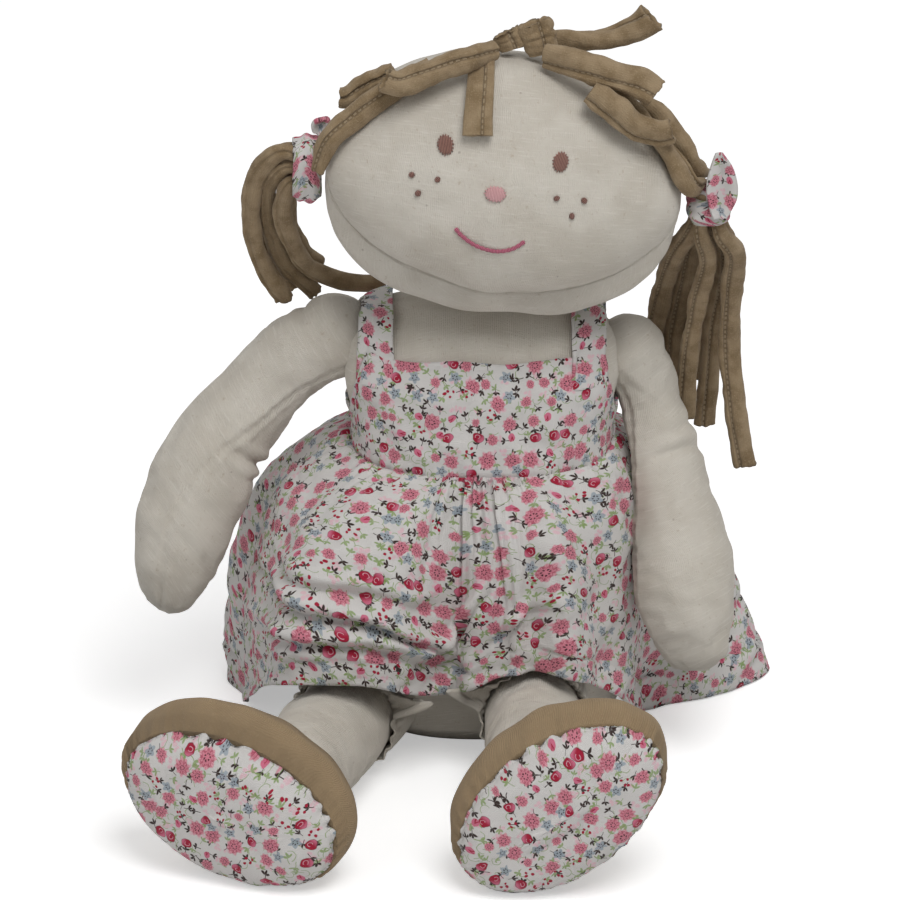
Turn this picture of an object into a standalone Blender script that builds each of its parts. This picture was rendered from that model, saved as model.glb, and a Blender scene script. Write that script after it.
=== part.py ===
# Rag doll, sitting: a stuffed body, head and limbs, tube hair in two bunches, a pinafore dress and knickers.
# Metres, +Z up. The doll faces -Y and its own left is +X. The origin is the middle of its flat seat.
import math

import bmesh
import bpy
import numpy as np
from mathutils import Matrix, Vector

# Cloth and clearances
cloth = 0.0011
gap = 0.0003
cloth_room = cloth + 2 * gap
stuffing_ease = 0.0016
joint_gap = 0.0006
armhole_room = 0.004
hip_outer_room = 0.006
overrun = 0.02
floor_cut = 0.0005
floor_spread = 0.5

# Body, with places on it measured from its top and its sides
body_height = 0.182
body_width = 0.118
body_depth = 0.080
body_set_back = 0.008
hip_inset = 0.027
hip_spread = body_width / 2 - hip_inset
hip_shift = 0.012
hip_forward = 0.030
hip_height = 0.0225
shoulder_inset = 0.001
shoulder_spread = body_width / 2 - shoulder_inset
shoulder_drop = 0.0035
shoulder_back = 0.003
shoulder_below = 0.022
shoulder_height = body_height - shoulder_below

# Neck
neck_ball = 0.0135
neck_top = 0.0118
neck_length = 0.034
neck_below = 0.008
neck_height = body_height - neck_below

# Head
head_width = 0.140
head_height = 0.093
face_bulge = 0.027
head_back_depth = 0.062
head_chin_swell = 0.011
head_crown_swell = 0.0005
head_tip_sag = 0.0055
head_across = 0.009
head_forward = 0.031
head_over_neck = 0.0393
head_rise = neck_height + neck_length + head_over_neck
head_roll = 6.5
head_tilt = 15.0

# Arms and legs
arm_length = 0.140
arm_top_radius = 0.0185
arm_seam_opening = 0.005
thigh_radius = 0.019
ankle_radius = 0.0185
leg_seam_opening = 0.006
leg_length = 0.102
sole_length = 0.091
sole_width = 0.057
sole_bulge = 0.013
foot_depth = 0.030
foot_toe_shift = 0.010

# Dress and knickers
waist_below = 0.060
waist_height = body_height - waist_below
bodice_below = 0.016
bodice_height = body_height - bodice_below
strap_width = 0.011
strap_inset = 0.0185
strap_spread = body_width / 2 - strap_inset
skirt_drop = 0.075
skirt_spread = 0.119
skirt_reach = 0.086
fold_depth = 0.0032
fold_count = 13
fold_growth = 1.6
knickers_below = 0.097
knickers_height = body_height - knickers_below
frill_rise = 0.0022
frill_length = 0.010
knickers_leg_start = 0.0038
knickers_leg_length = 0.034
knickers_ease = 0.0013
strap_ease = 0.0015
button_radius = 0.0045
button_thickness = 0.002
button_top_share = 0.9

# Hair
tube_radius = 0.0043
strand_radius = 0.0033
tie_band = 0.011
tie_height = 0.026
tie_depth = 0.026
tie_left_width = 0.018
tie_round_share = 0.3

cloth_roughness = 0.9
sharp_turn = 50
colours = {
    "cream": (0.61, 0.55, 0.46),
    "taupe": (0.17, 0.13, 0.08),
    "tan": (0.28, 0.21, 0.13),
    "print": (0.70, 0.62, 0.62),
    "stuffing": (0.86, 0.84, 0.80),
    "button": (0.80, 0.76, 0.68),
}

ring_sides = 24
limb_sides = 12
core_sides = 8
ball_sides = 20
ball_rows = 12
corner_steps = 6
ball_steps = 3
strap_steps = 10
strap_samples = 200


# Scene and materials


def clear_scene():
    for item in list(bpy.data.objects):
        bpy.data.objects.remove(item, do_unlink=True)


def new_collection(name):
    group = bpy.data.collections.new(name)
    bpy.context.scene.collection.children.link(group)
    return group


def new_material(name, colour, roughness):
    material = bpy.data.materials.new(name)
    material.use_nodes = True
    shader = material.node_tree.nodes["Principled BSDF"]
    shader.inputs["Base Color"].default_value = (*colour, 1.0)
    shader.inputs["Roughness"].default_value = roughness
    shader.inputs["Metallic"].default_value = 0.0
    return material


def add_piece(name, mesh, colour, body):
    """Adds a mesh given in world coordinates as a child of its body's empty."""
    pivot = bodies[body]
    mesh.transform(Matrix.Translation(-pivot.location))
    piece = bpy.data.objects.new(name, mesh)
    piece.parent = pivot
    parts.objects.link(piece)
    piece.data.materials.append(new_material(name, colours[colour], cloth_roughness))
    mesh.shade_smooth()
    mesh.set_sharp_from_angle(angle=math.radians(sharp_turn))
    return piece


def add_cutter(name, mesh):
    cutter = bpy.data.objects.new(name, mesh)
    cutter.hide_render = True
    cutter.display_type = "WIRE"
    cutters.objects.link(cutter)
    return cutter


def thicken(piece, thickness=cloth):
    """Cloth of one thickness, laid inwards from the outer surface."""
    wall = piece.modifiers.new("cloth", "SOLIDIFY")
    wall.thickness = thickness
    wall.offset = -1.0
    wall.use_even_offset = True
    return piece


def cut(piece, *tools):
    for tool in tools:
        change = piece.modifiers.new("cut_" + tool.name, "BOOLEAN")
        change.operation = "DIFFERENCE"
        change.solver = "EXACT"
        change.object = tool
    return piece


# Shapes


def oval(half_x, half_y, power, count, start=0.0, turn=2 * math.pi, closed=True):
    """Points of a superellipse, round from +X through +Y."""
    steps = count if closed else count - 1
    angles = start + turn * np.arange(count) / steps
    across = np.sign(np.cos(angles)) * np.abs(np.cos(angles)) ** (2 / power)
    along = np.sign(np.sin(angles)) * np.abs(np.sin(angles)) ** (2 / power)
    return np.stack([half_x * across, half_y * along], axis=1)


def loft_mesh(name, rings, closed=True, start_pole=None, end_pole=None, start_cap=False, end_cap=False):
    """A skin through rings of equal counts, ended by a pole, a flat cap or nothing."""
    shape = bmesh.new()
    rows = [[shape.verts.new(point) for point in ring] for ring in rings]
    count = len(rows[0])
    for low, high in zip(rows, rows[1:]):
        for step in range(count if closed else count - 1):
            after = (step + 1) % count
            shape.faces.new((low[step], low[after], high[after], high[step]))
    for pole, row, flip in ((start_pole, rows[0], True), (end_pole, rows[-1], False)):
        if pole is None:
            continue
        tip = shape.verts.new(pole)
        for step in range(count if closed else count - 1):
            after = (step + 1) % count
            corners = (row[step], row[after], tip)
            shape.faces.new(tuple(reversed(corners)) if flip else corners)
    if start_cap:
        shape.faces.new(tuple(reversed(rows[0])))
    if end_cap:
        shape.faces.new(tuple(rows[-1]))
    mesh = bpy.data.meshes.new(name)
    shape.to_mesh(mesh)
    shape.free()
    return mesh


def face_outwards(mesh):
    shape = bmesh.new()
    shape.from_mesh(mesh)
    bmesh.ops.recalc_face_normals(shape, faces=shape.faces)
    shape.to_mesh(mesh)
    shape.free()
    return mesh


def smooth_path(points, count):
    """A smooth curve through the route's own points, read at even steps."""
    points = np.array(points, float)
    before = 2 * points[0] - points[1]
    behind = 2 * points[-1] - points[-2]
    line = np.vstack([before, points, behind])
    places = np.linspace(0, len(points) - 1, count)
    spans = np.minimum(places.astype(int), len(points) - 2)
    t = (places - spans)[:, None]
    a, b, c, d = line[spans], line[spans + 1], line[spans + 2], line[spans + 3]
    return 0.5 * (2 * b + (c - a) * t + (2 * a - 5 * b + 4 * c - d) * t**2 + (3 * b - a - 3 * c + d) * t**3)


def frames_along(path, up):
    """A side and an up direction, square to the path, at each of its points."""
    tangents = np.gradient(path, axis=0)
    tangents /= np.linalg.norm(tangents, axis=1)[:, None]
    sides = np.cross(tangents, up)
    sides /= np.linalg.norm(sides, axis=1)[:, None]
    ups = np.cross(sides, tangents)
    return tangents, sides, ups


def tube_rings(path, radii, sides_count):
    tangents, sides, ups = frames_along(path, (0.0, 1.0, 0.0))
    angles = 2 * math.pi * np.arange(sides_count) / sides_count
    rings = []
    for centre, side, rise, radius in zip(path, sides, ups, radii):
        across = np.cos(angles)[:, None] * side * radius
        high = np.sin(angles)[:, None] * rise * radius
        rings.append(centre + across + high)
    return rings


def ball_cutter(name, centre, radius):
    shape = bmesh.new()
    bmesh.ops.create_uvsphere(shape, u_segments=ball_sides, v_segments=ball_rows, radius=radius)
    mesh = bpy.data.meshes.new(name)
    shape.to_mesh(mesh)
    shape.free()
    mesh.transform(Matrix.Translation(centre))
    return add_cutter(name, mesh)


def box_mesh(name, low, high):
    shape = bmesh.new()
    bmesh.ops.create_cube(shape, size=1.0)
    size = Vector(high) - Vector(low)
    bmesh.ops.scale(shape, vec=size, verts=shape.verts)
    bmesh.ops.translate(shape, vec=(Vector(high) + Vector(low)) / 2, verts=shape.verts)
    mesh = bpy.data.meshes.new(name)
    shape.to_mesh(mesh)
    shape.free()
    return mesh


# Body: sections from the seat to the neck, as shares of height, width and depth, with a set-back share

body_shares = np.array(
    [
        (0.000, 0.66, 0.62, 0.5),
        (0.045, 0.88, 0.88, 0.5),
        (0.150, 1.00, 1.00, 0.75),
        (0.270, 1.00, 1.00, 1.0),
        (0.430, 0.92, 0.97, 1.0),
        (0.590, 0.83, 0.90, 1.0),
        (0.720, 0.85, 0.86, 0.75),
        (0.840, 0.93, 0.80, 0.5),
        (0.910, 0.92, 0.68, 0.25),
        (0.962, 0.80, 0.52, 0.0),
        (0.990, 0.54, 0.34, 0.0),
    ]
)
body_power = 2.4
# The rows whose ovals the stuffing keeps
body_core_rows = [0, 2, 3, 5, 6, 7, 8, 9, 10]
knickers_puff_share = 0.25


def body_section(height, grow=0.0):
    """Half width, half depth and middle of the body's oval at a height."""
    level = height / body_height
    width = np.interp(level, body_shares[:, 0], body_shares[:, 1]) * body_width / 2
    depth = np.interp(level, body_shares[:, 0], body_shares[:, 2]) * body_depth / 2
    middle = -np.interp(level, body_shares[:, 0], body_shares[:, 3]) * body_set_back
    return width + grow, depth + grow, middle


def body_wall(across, height, grow, back=False):
    """Where the body's front or back lies at a place across it."""
    half_width, half_depth, middle = body_section(height, grow)
    share = min(abs(across) / half_width, 1.0)
    reach = half_depth * (1 - share**body_power) ** (1 / body_power)
    return middle + (reach if back else -reach)


def body_panel(name, back):
    """Half of the body's cover, from the side seams round, with its foot folded in under the seat."""
    seat = cloth_room
    edge = gap if back else -gap
    rings = []
    for height in body_shares[:, 0] * body_height:
        half_width, half_depth, middle = body_section(height)
        start = 0.0 if back else math.pi
        outline = oval(half_width, half_depth, body_power, ring_sides // 2 + 1, start, math.pi, closed=False)
        rings.append([(x, y + middle + edge, max(height, seat)) for x, y in outline])
    middle = body_section(seat)[2]
    base = [(x, middle + edge, seat) for x, y, z in rings[0]]
    mesh = loft_mesh(name, [base] + rings, closed=False)
    weld(mesh)
    face_from_centre(mesh, Vector((0.0, middle, body_height / 2)))
    return cut(thicken(add_piece(name, mesh, "cream", "body")), *body_tools)


def weld(mesh):
    shape = bmesh.new()
    shape.from_mesh(mesh)
    bmesh.ops.remove_doubles(shape, verts=shape.verts, dist=gap / 10)
    shape.to_mesh(mesh)
    shape.free()


def face_from_centre(mesh, centre):
    """Turns an open sheet so that its faces look away from a point inside the piece."""
    shape = bmesh.new()
    shape.from_mesh(mesh)
    bmesh.ops.recalc_face_normals(shape, faces=shape.faces)
    outward = 0.0
    for face in shape.faces:
        outward += (face.calc_center_median() - centre).dot(face.normal) * face.calc_area()
    if outward < 0:
        bmesh.ops.reverse_faces(shape, faces=shape.faces)
    shape.to_mesh(mesh)
    shape.free()


def body_stuffing():
    """The filling, on every other point of the cover's ovals, so that it lies inside the cover's facets."""
    inset = cloth + stuffing_ease
    rings = []
    for level in body_shares[body_core_rows, 0]:
        half_width, half_depth, middle = body_section(level * body_height, -inset)
        height = inset + stuffing_ease + level * (body_height - 2 * (inset + stuffing_ease))
        outline = oval(half_width, half_depth, body_power, ring_sides // 2)
        rings.append([(x, y + middle, height) for x, y in outline])
    mesh = face_outwards(loft_mesh("body_stuffing", rings, start_cap=True, end_cap=True))
    return cut(add_piece("body_stuffing", mesh, "stuffing", "body"), *body_tools)


def thigh_cloth_radius():
    """The outside of the knickers' leg round the thigh."""
    return thigh_radius * max(leg_radius_shares) + cloth_room + frill_rise * knickers_puff_share


def leg_sweep_cutter(name, side, room):
    """The space a thigh passes through as its leg folds down: its outline in side view, pulled across."""
    radius = thigh_cloth_radius() + room
    reach = body_depth
    outline = [(-reach, hip_height + radius), (-hip_forward, hip_height + radius)]
    for step in range(1, corner_steps + 1):
        angle = math.pi / 2 * (1 - step / corner_steps)
        outline.append((-hip_forward + radius * math.cos(angle), hip_height + radius * math.sin(angle)))
    outline += [(-hip_forward + radius, -overrun), (-reach, -overrun)]
    rings = []
    middle = hip_place(side)[0]
    for across in (middle - side * radius, middle + side * (radius + hip_outer_room)):
        rings.append([(across, y, z) for y, z in outline])
    mesh = face_outwards(loft_mesh(name, rings, start_cap=True, end_cap=True))
    return add_cutter(name, mesh)


# Neck: a ball in the body's collar, and a stem that the head sits on


# How far round the ball goes, then the stem's radius and height as shares of its top radius and its length
neck_turn_share = 1.40
neck_stem_shares = ((0.8475, 0.3256), (1.0, 0.62), (1.0, 0.913), (0.7, 1.0))


def neck():
    profile = []
    for step in range(1, corner_steps + 1):
        angle = math.pi / 2 * (step / corner_steps * neck_turn_share - 1)
        profile.append((neck_ball * math.cos(angle), neck_ball * math.sin(angle)))
    profile += [(neck_top * radius, neck_length * height) for radius, height in neck_stem_shares]
    rings = []
    for radius, height in profile:
        rings.append([(x, y, height + neck_height) for x, y in oval(radius, radius, 2.0, 2 * core_sides)])
    mesh = face_outwards(loft_mesh("neck", rings, start_pole=(0, 0, neck_height - neck_ball), end_cap=True))
    return add_piece("neck", mesh, "cream", "neck")


# Head: two cushions of unlike depth, joined at a seam shaped as a rounded lozenge

seam_power = 1.75
back_power = 2.25
face_size_shares = (0.12, 0.34, 0.57, 0.76, 0.90, 0.975, 1.0)
face_rise_shares = (0.99, 0.94, 0.82, 0.64, 0.42, 0.20, 0.0)
back_size_shares = (1.0, 1.0, 1.0, 0.98, 0.90, 0.74, 0.50, 0.24)
back_swell_shares = (0.0, 0.70, 1.0, 0.95, 0.60, 0.20, 0.0, 0.0)
back_depth_shares = (0.0, 0.09, 0.24, 0.43, 0.64, 0.82, 0.94, 0.99)


def head_place():
    roll = Matrix.Rotation(math.radians(head_roll), 4, "Y")
    turn = roll @ Matrix.Rotation(math.radians(-head_tilt), 4, "X")
    return Matrix.Translation((head_across, -head_forward, head_rise)) @ turn


def head_ring(half_x, half_up, half_down, power, depth, count=ring_sides):
    """An outline of the head, square to its own depth, with its side tips hanging lower than its middle."""
    ring = []
    for x, level in oval(half_x, 1.0, power, count):
        z = level * (half_up if level > 0 else half_down)
        sag = head_tip_sag * (x / (head_width / 2)) ** 2
        ring.append((x, depth, z - sag))
    return ring


def face_rings(inset, count=ring_sides):
    rings = []
    for size, rise in zip(face_size_shares, face_rise_shares):
        half_x = size * (head_width / 2 - inset)
        half_z = size * (head_height / 2 - inset)
        rings.append(head_ring(half_x, half_z, half_z, seam_power, -rise * (face_bulge - inset), count))
    return rings


def back_rings(inset, count=ring_sides):
    rings = []
    for size, swell, depth in zip(back_size_shares, back_swell_shares, back_depth_shares):
        half_x = size * (head_width / 2 - inset)
        half_up = size * (head_height / 2 + swell * head_crown_swell - inset)
        half_down = size * (head_height / 2 + swell * head_chin_swell - inset)
        power = seam_power + (back_power - seam_power) * min(1.0, swell + 2 * depth)
        place = gap + inset + depth * (head_back_depth - 2 * inset - gap)
        rings.append(head_ring(half_x, half_up, half_down, power, place, count))
    return rings


def head():
    middle = head_place() @ Vector((0, 0, 0))
    face_pole = (0, -face_bulge, 0)
    back_pole = (0, head_back_depth, 0)
    panels = (
        ("head_face", face_rings(0.0), {"start_pole": face_pole}, []),
        ("head_back", back_rings(0.0), {"end_pole": back_pole}, [neck_cutter]),
    )
    for name, rings, pole, tools in panels:
        mesh = loft_mesh(name, rings, **pole)
        mesh.transform(head_place())
        face_from_centre(mesh, middle)
        cut(thicken(add_piece(name, mesh, "cream", "head")), *tools)
    inset = cloth + stuffing_ease
    core = face_rings(inset, ring_sides // 2)[::2] + back_rings(inset, ring_sides // 2)[1::2]
    poles = {"start_pole": (0, inset - face_bulge, 0), "end_pole": (0, head_back_depth - inset, 0)}
    mesh = face_outwards(loft_mesh("head_stuffing", core, **poles))
    mesh.transform(head_place())
    cut(add_piece("head_stuffing", mesh, "stuffing", "head"), neck_cutter)


def face_depth(x, z):
    """How far forward of its seam the face lies at a place on it."""
    level = (z + head_tip_sag * (x / (head_width / 2)) ** 2) / (head_height / 2)
    size = (abs(x / (head_width / 2)) ** seam_power + abs(level) ** seam_power) ** (1 / seam_power)
    return face_bulge * float(np.interp(size, face_size_shares, face_rise_shares))


def neck_socket():
    """The hole that the neck's stem fills in the head, round the axis that the head turns on."""
    rings = []
    for height in (neck_height, neck_height + neck_length + joint_gap):
        radius = neck_top + joint_gap
        rings.append([(x, y, height) for x, y in oval(radius, radius, 2.0, ring_sides)])
    mesh = loft_mesh("neck_socket", rings, start_cap=True, end_cap=True)
    return add_cutter("neck_socket", face_outwards(mesh))


# Arms: routes from the shoulder as shares of the arm's length, outwards, forwards and up

arm_route_shares = {
    "right": (
        (0, 0, 0),
        (0.126, 0.014, -0.075),
        (0.254, 0.036, -0.218),
        (0.347, 0.079, -0.335),
        (0.419, 0.136, -0.494),
        (0.457, 0.193, -0.629),
        (0.483, 0.225, -0.725),
    ),
    "left": (
        (0, 0, 0),
        (0.052, 0.014, -0.104),
        (0.094, 0.064, -0.266),
        (0.124, 0.129, -0.390),
        (0.154, 0.214, -0.524),
        (0.164, 0.286, -0.625),
        (0.182, 0.336, -0.706),
        (0.203, 0.379, -0.786),
    ),
}
arm_radius_shares = {
    "right": (0.88, 0.88, 0.85, 0.88, 0.96, 1.03, 1.05, 1.01, 0.88, 0.58),
    "left": (0.80, 0.70, 0.66, 0.71, 0.81, 0.95, 1.05, 1.07, 0.94, 0.61),
}
arm_tip_share = 0.4


def sleeve_rings(path, radii, inset, opening, sides_count):
    """Rings of a stuffed limb: a ball at its sewn end, then the tube along its route."""
    start = np.array(path[0])
    direction = np.array(path[1]) - start
    direction /= np.linalg.norm(direction)
    ball = radii[0]
    widest = math.asin(opening / ball)
    fit = math.cos(math.pi / limb_sides) if inset else 1.0
    back_path, back_radii = [], []
    for step in range(ball_steps):
        angle = widest + (math.pi / 2 - widest) * step / ball_steps
        back_path.append(start - direction * (ball - 2 * inset) * math.cos(angle))
        back_radii.append((ball - inset) * fit * math.sin(angle))
    full_path = np.vstack([back_path, path])
    full_radii = back_radii + [(radius - inset) * fit for radius in radii]
    return tube_rings(full_path, full_radii, sides_count)


def shoulder_place(side):
    """The doll leans a little to its own left, so that shoulder is the lower one."""
    return (side * shoulder_spread, shoulder_back, shoulder_height - side * shoulder_drop)


def arm(side_name, side):
    shoulder = np.array(shoulder_place(side))
    route = []
    for out, forward, up in arm_route_shares[side_name]:
        route.append(shoulder + arm_length * np.array((side * out, -forward, up)))
    shares = arm_radius_shares[side_name]
    count = len(shares)
    path = smooth_path(route, count)
    radii = [share * arm_top_radius for share in shares]
    tip = path[-1] + (path[-1] - path[-2]) * arm_tip_share
    body = "arm_" + side_name

    rings = sleeve_rings(path, radii, 0.0, arm_seam_opening, limb_sides)
    mesh = loft_mesh(body + "_cover", rings, end_pole=tuple(tip))
    face_sleeve_outwards(mesh, Vector(path[count // 2]))
    thicken(add_piece(body + "_cover", mesh, "cream", body))

    rings = sleeve_rings(path, radii, cloth_room, arm_seam_opening, core_sides)
    mesh = loft_mesh(body + "_stuffing", rings[:-1], end_pole=tuple(path[-1]), start_cap=True)
    add_piece(body + "_stuffing", face_outwards(mesh), "stuffing", body)


def face_sleeve_outwards(mesh, centre):
    """Turns an open, bent sleeve so that its faces near its middle look away from its own line."""
    shape = bmesh.new()
    shape.from_mesh(mesh)
    bmesh.ops.recalc_face_normals(shape, faces=shape.faces)
    near = min(shape.faces, key=lambda face: (face.calc_center_median() - centre).length)
    if (near.calc_center_median() - centre).dot(near.normal) < 0:
        bmesh.ops.reverse_faces(shape, faces=shape.faces)
    shape.to_mesh(mesh)
    shape.free()


# Legs and feet: a leg is a tube from the hip, and a foot is a boot that widens to an oval sole facing forward

leg_splay = {"right": 20.0, "left": 1.0}
toe_turn = {"right": 72.5, "left": 52.0}
leg_radius_shares = (1.0, 1.0, 1.03, 1.04, 1.02)
boot_depth_shares = (0.0, 0.16, 0.36, 0.60, 0.83, 1.0)
boot_size_shares = (0.0, 0.26, 0.60, 0.88, 0.98, 1.0)
# The boot's top stands higher than the sole's seam, behind it
boot_puff_shares = (0.0, 0.35, 0.90, 1.0, 0.62, 0.0)
boot_puff = {"right": 0.0052, "left": 0.0040}
sole_size_shares = (1.0, 0.94, 0.76, 0.45)
sole_rise_shares = (0.0, 0.42, 0.80, 0.96)


def hip_place(side):
    """The hips sit to the right of the chest, as the doll leans."""
    return (side * hip_spread - hip_shift, -hip_forward, hip_height)


def foot_frame(side_name, side):
    """The hip, the leg's direction, and the sole's toe and cross directions."""
    toe = math.radians(toe_turn[side_name])
    half_rise = math.hypot(sole_length / 2 * math.cos(toe), sole_width / 2 * math.sin(toe))
    splay = math.radians(leg_splay[side_name])
    hip = Vector(hip_place(side))
    reach = leg_length + foot_depth
    rise = half_rise + foot_toe_shift * -math.cos(toe) - floor_cut - hip_height
    flat = math.sqrt(reach**2 - rise**2)
    leg = Vector((side * math.sin(splay) * flat, -math.cos(splay) * flat, rise)).normalized()
    level = Vector((0, 0, 1)).cross(leg).normalized() * side
    upright = leg.cross(level).normalized()
    if upright.z < 0:
        upright = -upright
    toe_way = (upright * math.cos(toe) + level * math.sin(toe)).normalized()
    cross_way = leg.cross(toe_way).normalized()
    return hip, leg, toe_way, cross_way, upright


def boot_ring(frame, along, size, puff, inset, sides_count):
    """A section of the foot: round at the ankle, and at the sole a long oval moved towards the toe."""
    hip, leg, toe_way, cross_way, upright = frame
    half_long = ankle_radius + (sole_length / 2 - ankle_radius) * size - inset + puff
    half_wide = ankle_radius + (sole_width / 2 - ankle_radius) * size - inset + puff
    centre = hip + leg * along + toe_way * foot_toe_shift * size + upright * puff
    outline = oval(half_long, half_wide, 2.0, sides_count)
    return [tuple(centre + toe_way * u + cross_way * v) for u, v in outline]


def sole_ring(frame, along, size, inset, sides_count):
    hip, leg, toe_way, cross_way, upright = frame
    centre = hip + leg * along + toe_way * foot_toe_shift
    outline = oval(size * (sole_length / 2 - inset), size * (sole_width / 2 - inset), 2.0, sides_count)
    return [tuple(centre + toe_way * u + cross_way * v) for u, v in outline]


def leg(side_name, side):
    frame = foot_frame(side_name, side)
    hip, way, toe_way, cross_way, upright = frame
    body = "leg_" + side_name
    puff = boot_puff[side_name]
    count = len(leg_radius_shares)
    path = np.array([tuple(hip + way * leg_length * step / (count - 1)) for step in range(count)])
    radii = [share * thigh_radius for share in leg_radius_shares[:-1]] + [ankle_radius]

    name = body + "_cover"
    mesh = loft_mesh(name, sleeve_rings(path, radii, 0.0, leg_seam_opening, limb_sides))
    face_sleeve_outwards(mesh, Vector(path[count // 2]))
    thicken(add_piece(name, mesh, "cream", body))

    toe_middle = hip + way * (leg_length + foot_depth) + toe_way * foot_toe_shift
    name = "foot_%s_upper" % side_name
    rings = []
    for depth, size, share in zip(boot_depth_shares, boot_size_shares, boot_puff_shares):
        along = leg_length + gap + depth * (foot_depth - 2 * gap)
        rings.append(boot_ring(frame, along, size, share * puff, 0.0, ring_sides))
    mesh = loft_mesh(name, rings)
    face_from_centre(mesh, toe_middle - way * foot_depth / 2)
    cut(thicken(add_piece(name, mesh, "tan", body)), floor_cutter)

    name = "foot_%s_sole" % side_name
    start = leg_length + foot_depth + cloth
    rings = []
    for size, rise in zip(sole_size_shares, sole_rise_shares):
        rings.append(sole_ring(frame, start + rise * sole_bulge, size, 0.0, ring_sides))
    tip = hip + way * (start + sole_bulge) + toe_way * foot_toe_shift
    mesh = loft_mesh(name, rings, end_pole=tuple(tip))
    face_from_centre(mesh, toe_middle - way * foot_depth)
    cut(thicken(add_piece(name, mesh, "print", body)), floor_cutter)

    rings = sleeve_rings(path, radii, cloth_room, leg_seam_opening, limb_sides)[:-1]
    add_piece(body + "_stuffing", leg_core(body + "_stuffing", frame, rings, puff), "stuffing", body)


def leg_core(name, frame, leg_rings, puff):
    """The stuffing: the leg's tube run on through the boot to the inside of the sole."""
    hip, way, toe_way, cross_way, upright = frame
    inset = cloth_room
    rings = []
    for leg_ring in leg_rings:
        middle = Vector(leg_ring.mean(axis=0))
        radius = (Vector(leg_ring[0]) - middle).length
        outline = oval(radius, radius, 2.0, limb_sides)
        rings.append([tuple(middle + toe_way * u + cross_way * v) for u, v in outline])
    for depth, size, share in zip(boot_depth_shares, boot_size_shares, boot_puff_shares):
        along = leg_length + 2 * inset + depth * (foot_depth - 2 * inset)
        rings.append(boot_ring(frame, along, size, share * puff, 2 * inset, limb_sides))
    for size, rise in zip(sole_size_shares[1:], sole_rise_shares[1:]):
        along = leg_length + foot_depth + rise * (sole_bulge - inset)
        rings.append(sole_ring(frame, along, size, 3 * inset, limb_sides))
    return face_outwards(loft_mesh(name, rings, start_cap=True, end_cap=True))


# Knickers: a seat round the body's lower half and a short leg with a frill on each thigh


def knickers_seat():
    levels = [level for level in body_shares[:, 0] * body_height if level < knickers_height]
    rings = []
    for height in levels + [knickers_height]:
        half_width, half_depth, middle = body_section(height, cloth + knickers_ease)
        outline = oval(half_width, half_depth, body_power, ring_sides)
        rings.append([(x, y + middle, height) for x, y in outline])
    middle = body_section(0.0)[2]
    mesh = loft_mesh("knickers_seat", rings, start_pole=(0, middle, 0))
    face_from_centre(mesh, Vector((0, middle, knickers_height / 2)))
    return cut(thicken(add_piece("knickers_seat", mesh, "cream", "body")), *hip_tools)


# The legs' sleeve, as shares of its length and of its puff, and then its frill
knickers_leg_shares = ((0.0, 0.0), (0.35, 1.0), (0.70, 0.5), (0.80, 0.0))
frill_shares = (0.5, 1.0)


def knickers_leg(side_name, side):
    hip, way, toe_way, cross_way, upright = foot_frame(side_name, side)
    radius = thigh_radius * max(leg_radius_shares) + cloth_room
    level = Vector((1, 0, 0))
    level = (level - way * level.dot(way)).normalized()
    upright = level.cross(way).normalized()
    rings = []
    for share, puff in knickers_leg_shares:
        size = radius + puff * knickers_puff_share * frill_rise
        along = knickers_leg_start + share * (knickers_leg_length - knickers_leg_start)
        rings.append(round_ring(hip + way * along, level, upright, size, 2 * limb_sides, 0.0))
    for share in frill_shares:
        along = knickers_leg_length - knickers_leg_start + share * frill_length
        size, scallop = radius + share * frill_rise, share * frill_rise / 2
        rings.append(round_ring(hip + way * along, level, upright, size, 2 * limb_sides, scallop))
    name = "knickers_leg_" + side_name
    mesh = loft_mesh(name, rings)
    face_sleeve_outwards(mesh, hip + way * knickers_leg_length / 2)
    return cut(thicken(add_piece(name, mesh, "cream", "leg_" + side_name)), floor_cutter)


def round_ring(centre, level, upright, radius, count, scallop):
    ring = []
    for step in range(count):
        angle = 2 * math.pi * step / count
        reach = radius + scallop * (1 if step % 2 else -1)
        ring.append(tuple(centre + level * reach * math.cos(angle) + upright * reach * math.sin(angle)))
    return ring


# Dress


def bodice_panel(name, start, turn, count, tools):
    """Part of the bodice: the body's own sections let out by the cloth, from the waist to the chest."""
    low = waist_height + gap
    levels = [level for level in body_shares[:, 0] * body_height if low < level < bodice_height]
    rings = []
    for height in [low] + levels + [bodice_height]:
        half_width, half_depth, middle = body_section(height, cloth_room)
        outline = oval(half_width, half_depth, body_power, count, start, turn, closed=False)
        rings.append([(x, y + middle, height) for x, y in outline])
    mesh = loft_mesh(name, rings, closed=False)
    face_from_centre(mesh, Vector((0, body_section(waist_height)[2], (waist_height + bodice_height) / 2)))
    return cut(thicken(add_piece(name, mesh, "print", "body")), *tools)


def strap(side_name, side):
    """A band laid over the shoulder along the body's own surface, from the bodice's front to its back."""
    steps = strap_steps
    low = bodice_height + 3 * gap
    rows = []
    for share in (-0.5, 0.0, 0.5):
        across = strap_spread + share * strap_width
        levels = np.linspace(low, body_height, strap_samples)
        widths = np.array([body_section(level)[0] for level in levels])
        top = float(levels[widths >= across][-1])
        column = []
        for step in range(steps + 1):
            turn = math.pi * step / steps
            height = low + (top - low) * math.sin(turn)
            column.append((side * across, body_wall(across, height, 0.0, back=turn > math.pi / 2), height))
        rows.append(column)
    rings = [[row[step] for row in rows] for step in range(steps + 1)]
    mesh = loft_mesh("strap_" + side_name, rings, closed=False)
    face_from_centre(mesh, Vector((0, 0, bodice_height / 2)))
    lift_off(mesh, cloth + strap_ease)
    return thicken(add_piece("strap_" + side_name, mesh, "print", "body"))


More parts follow.
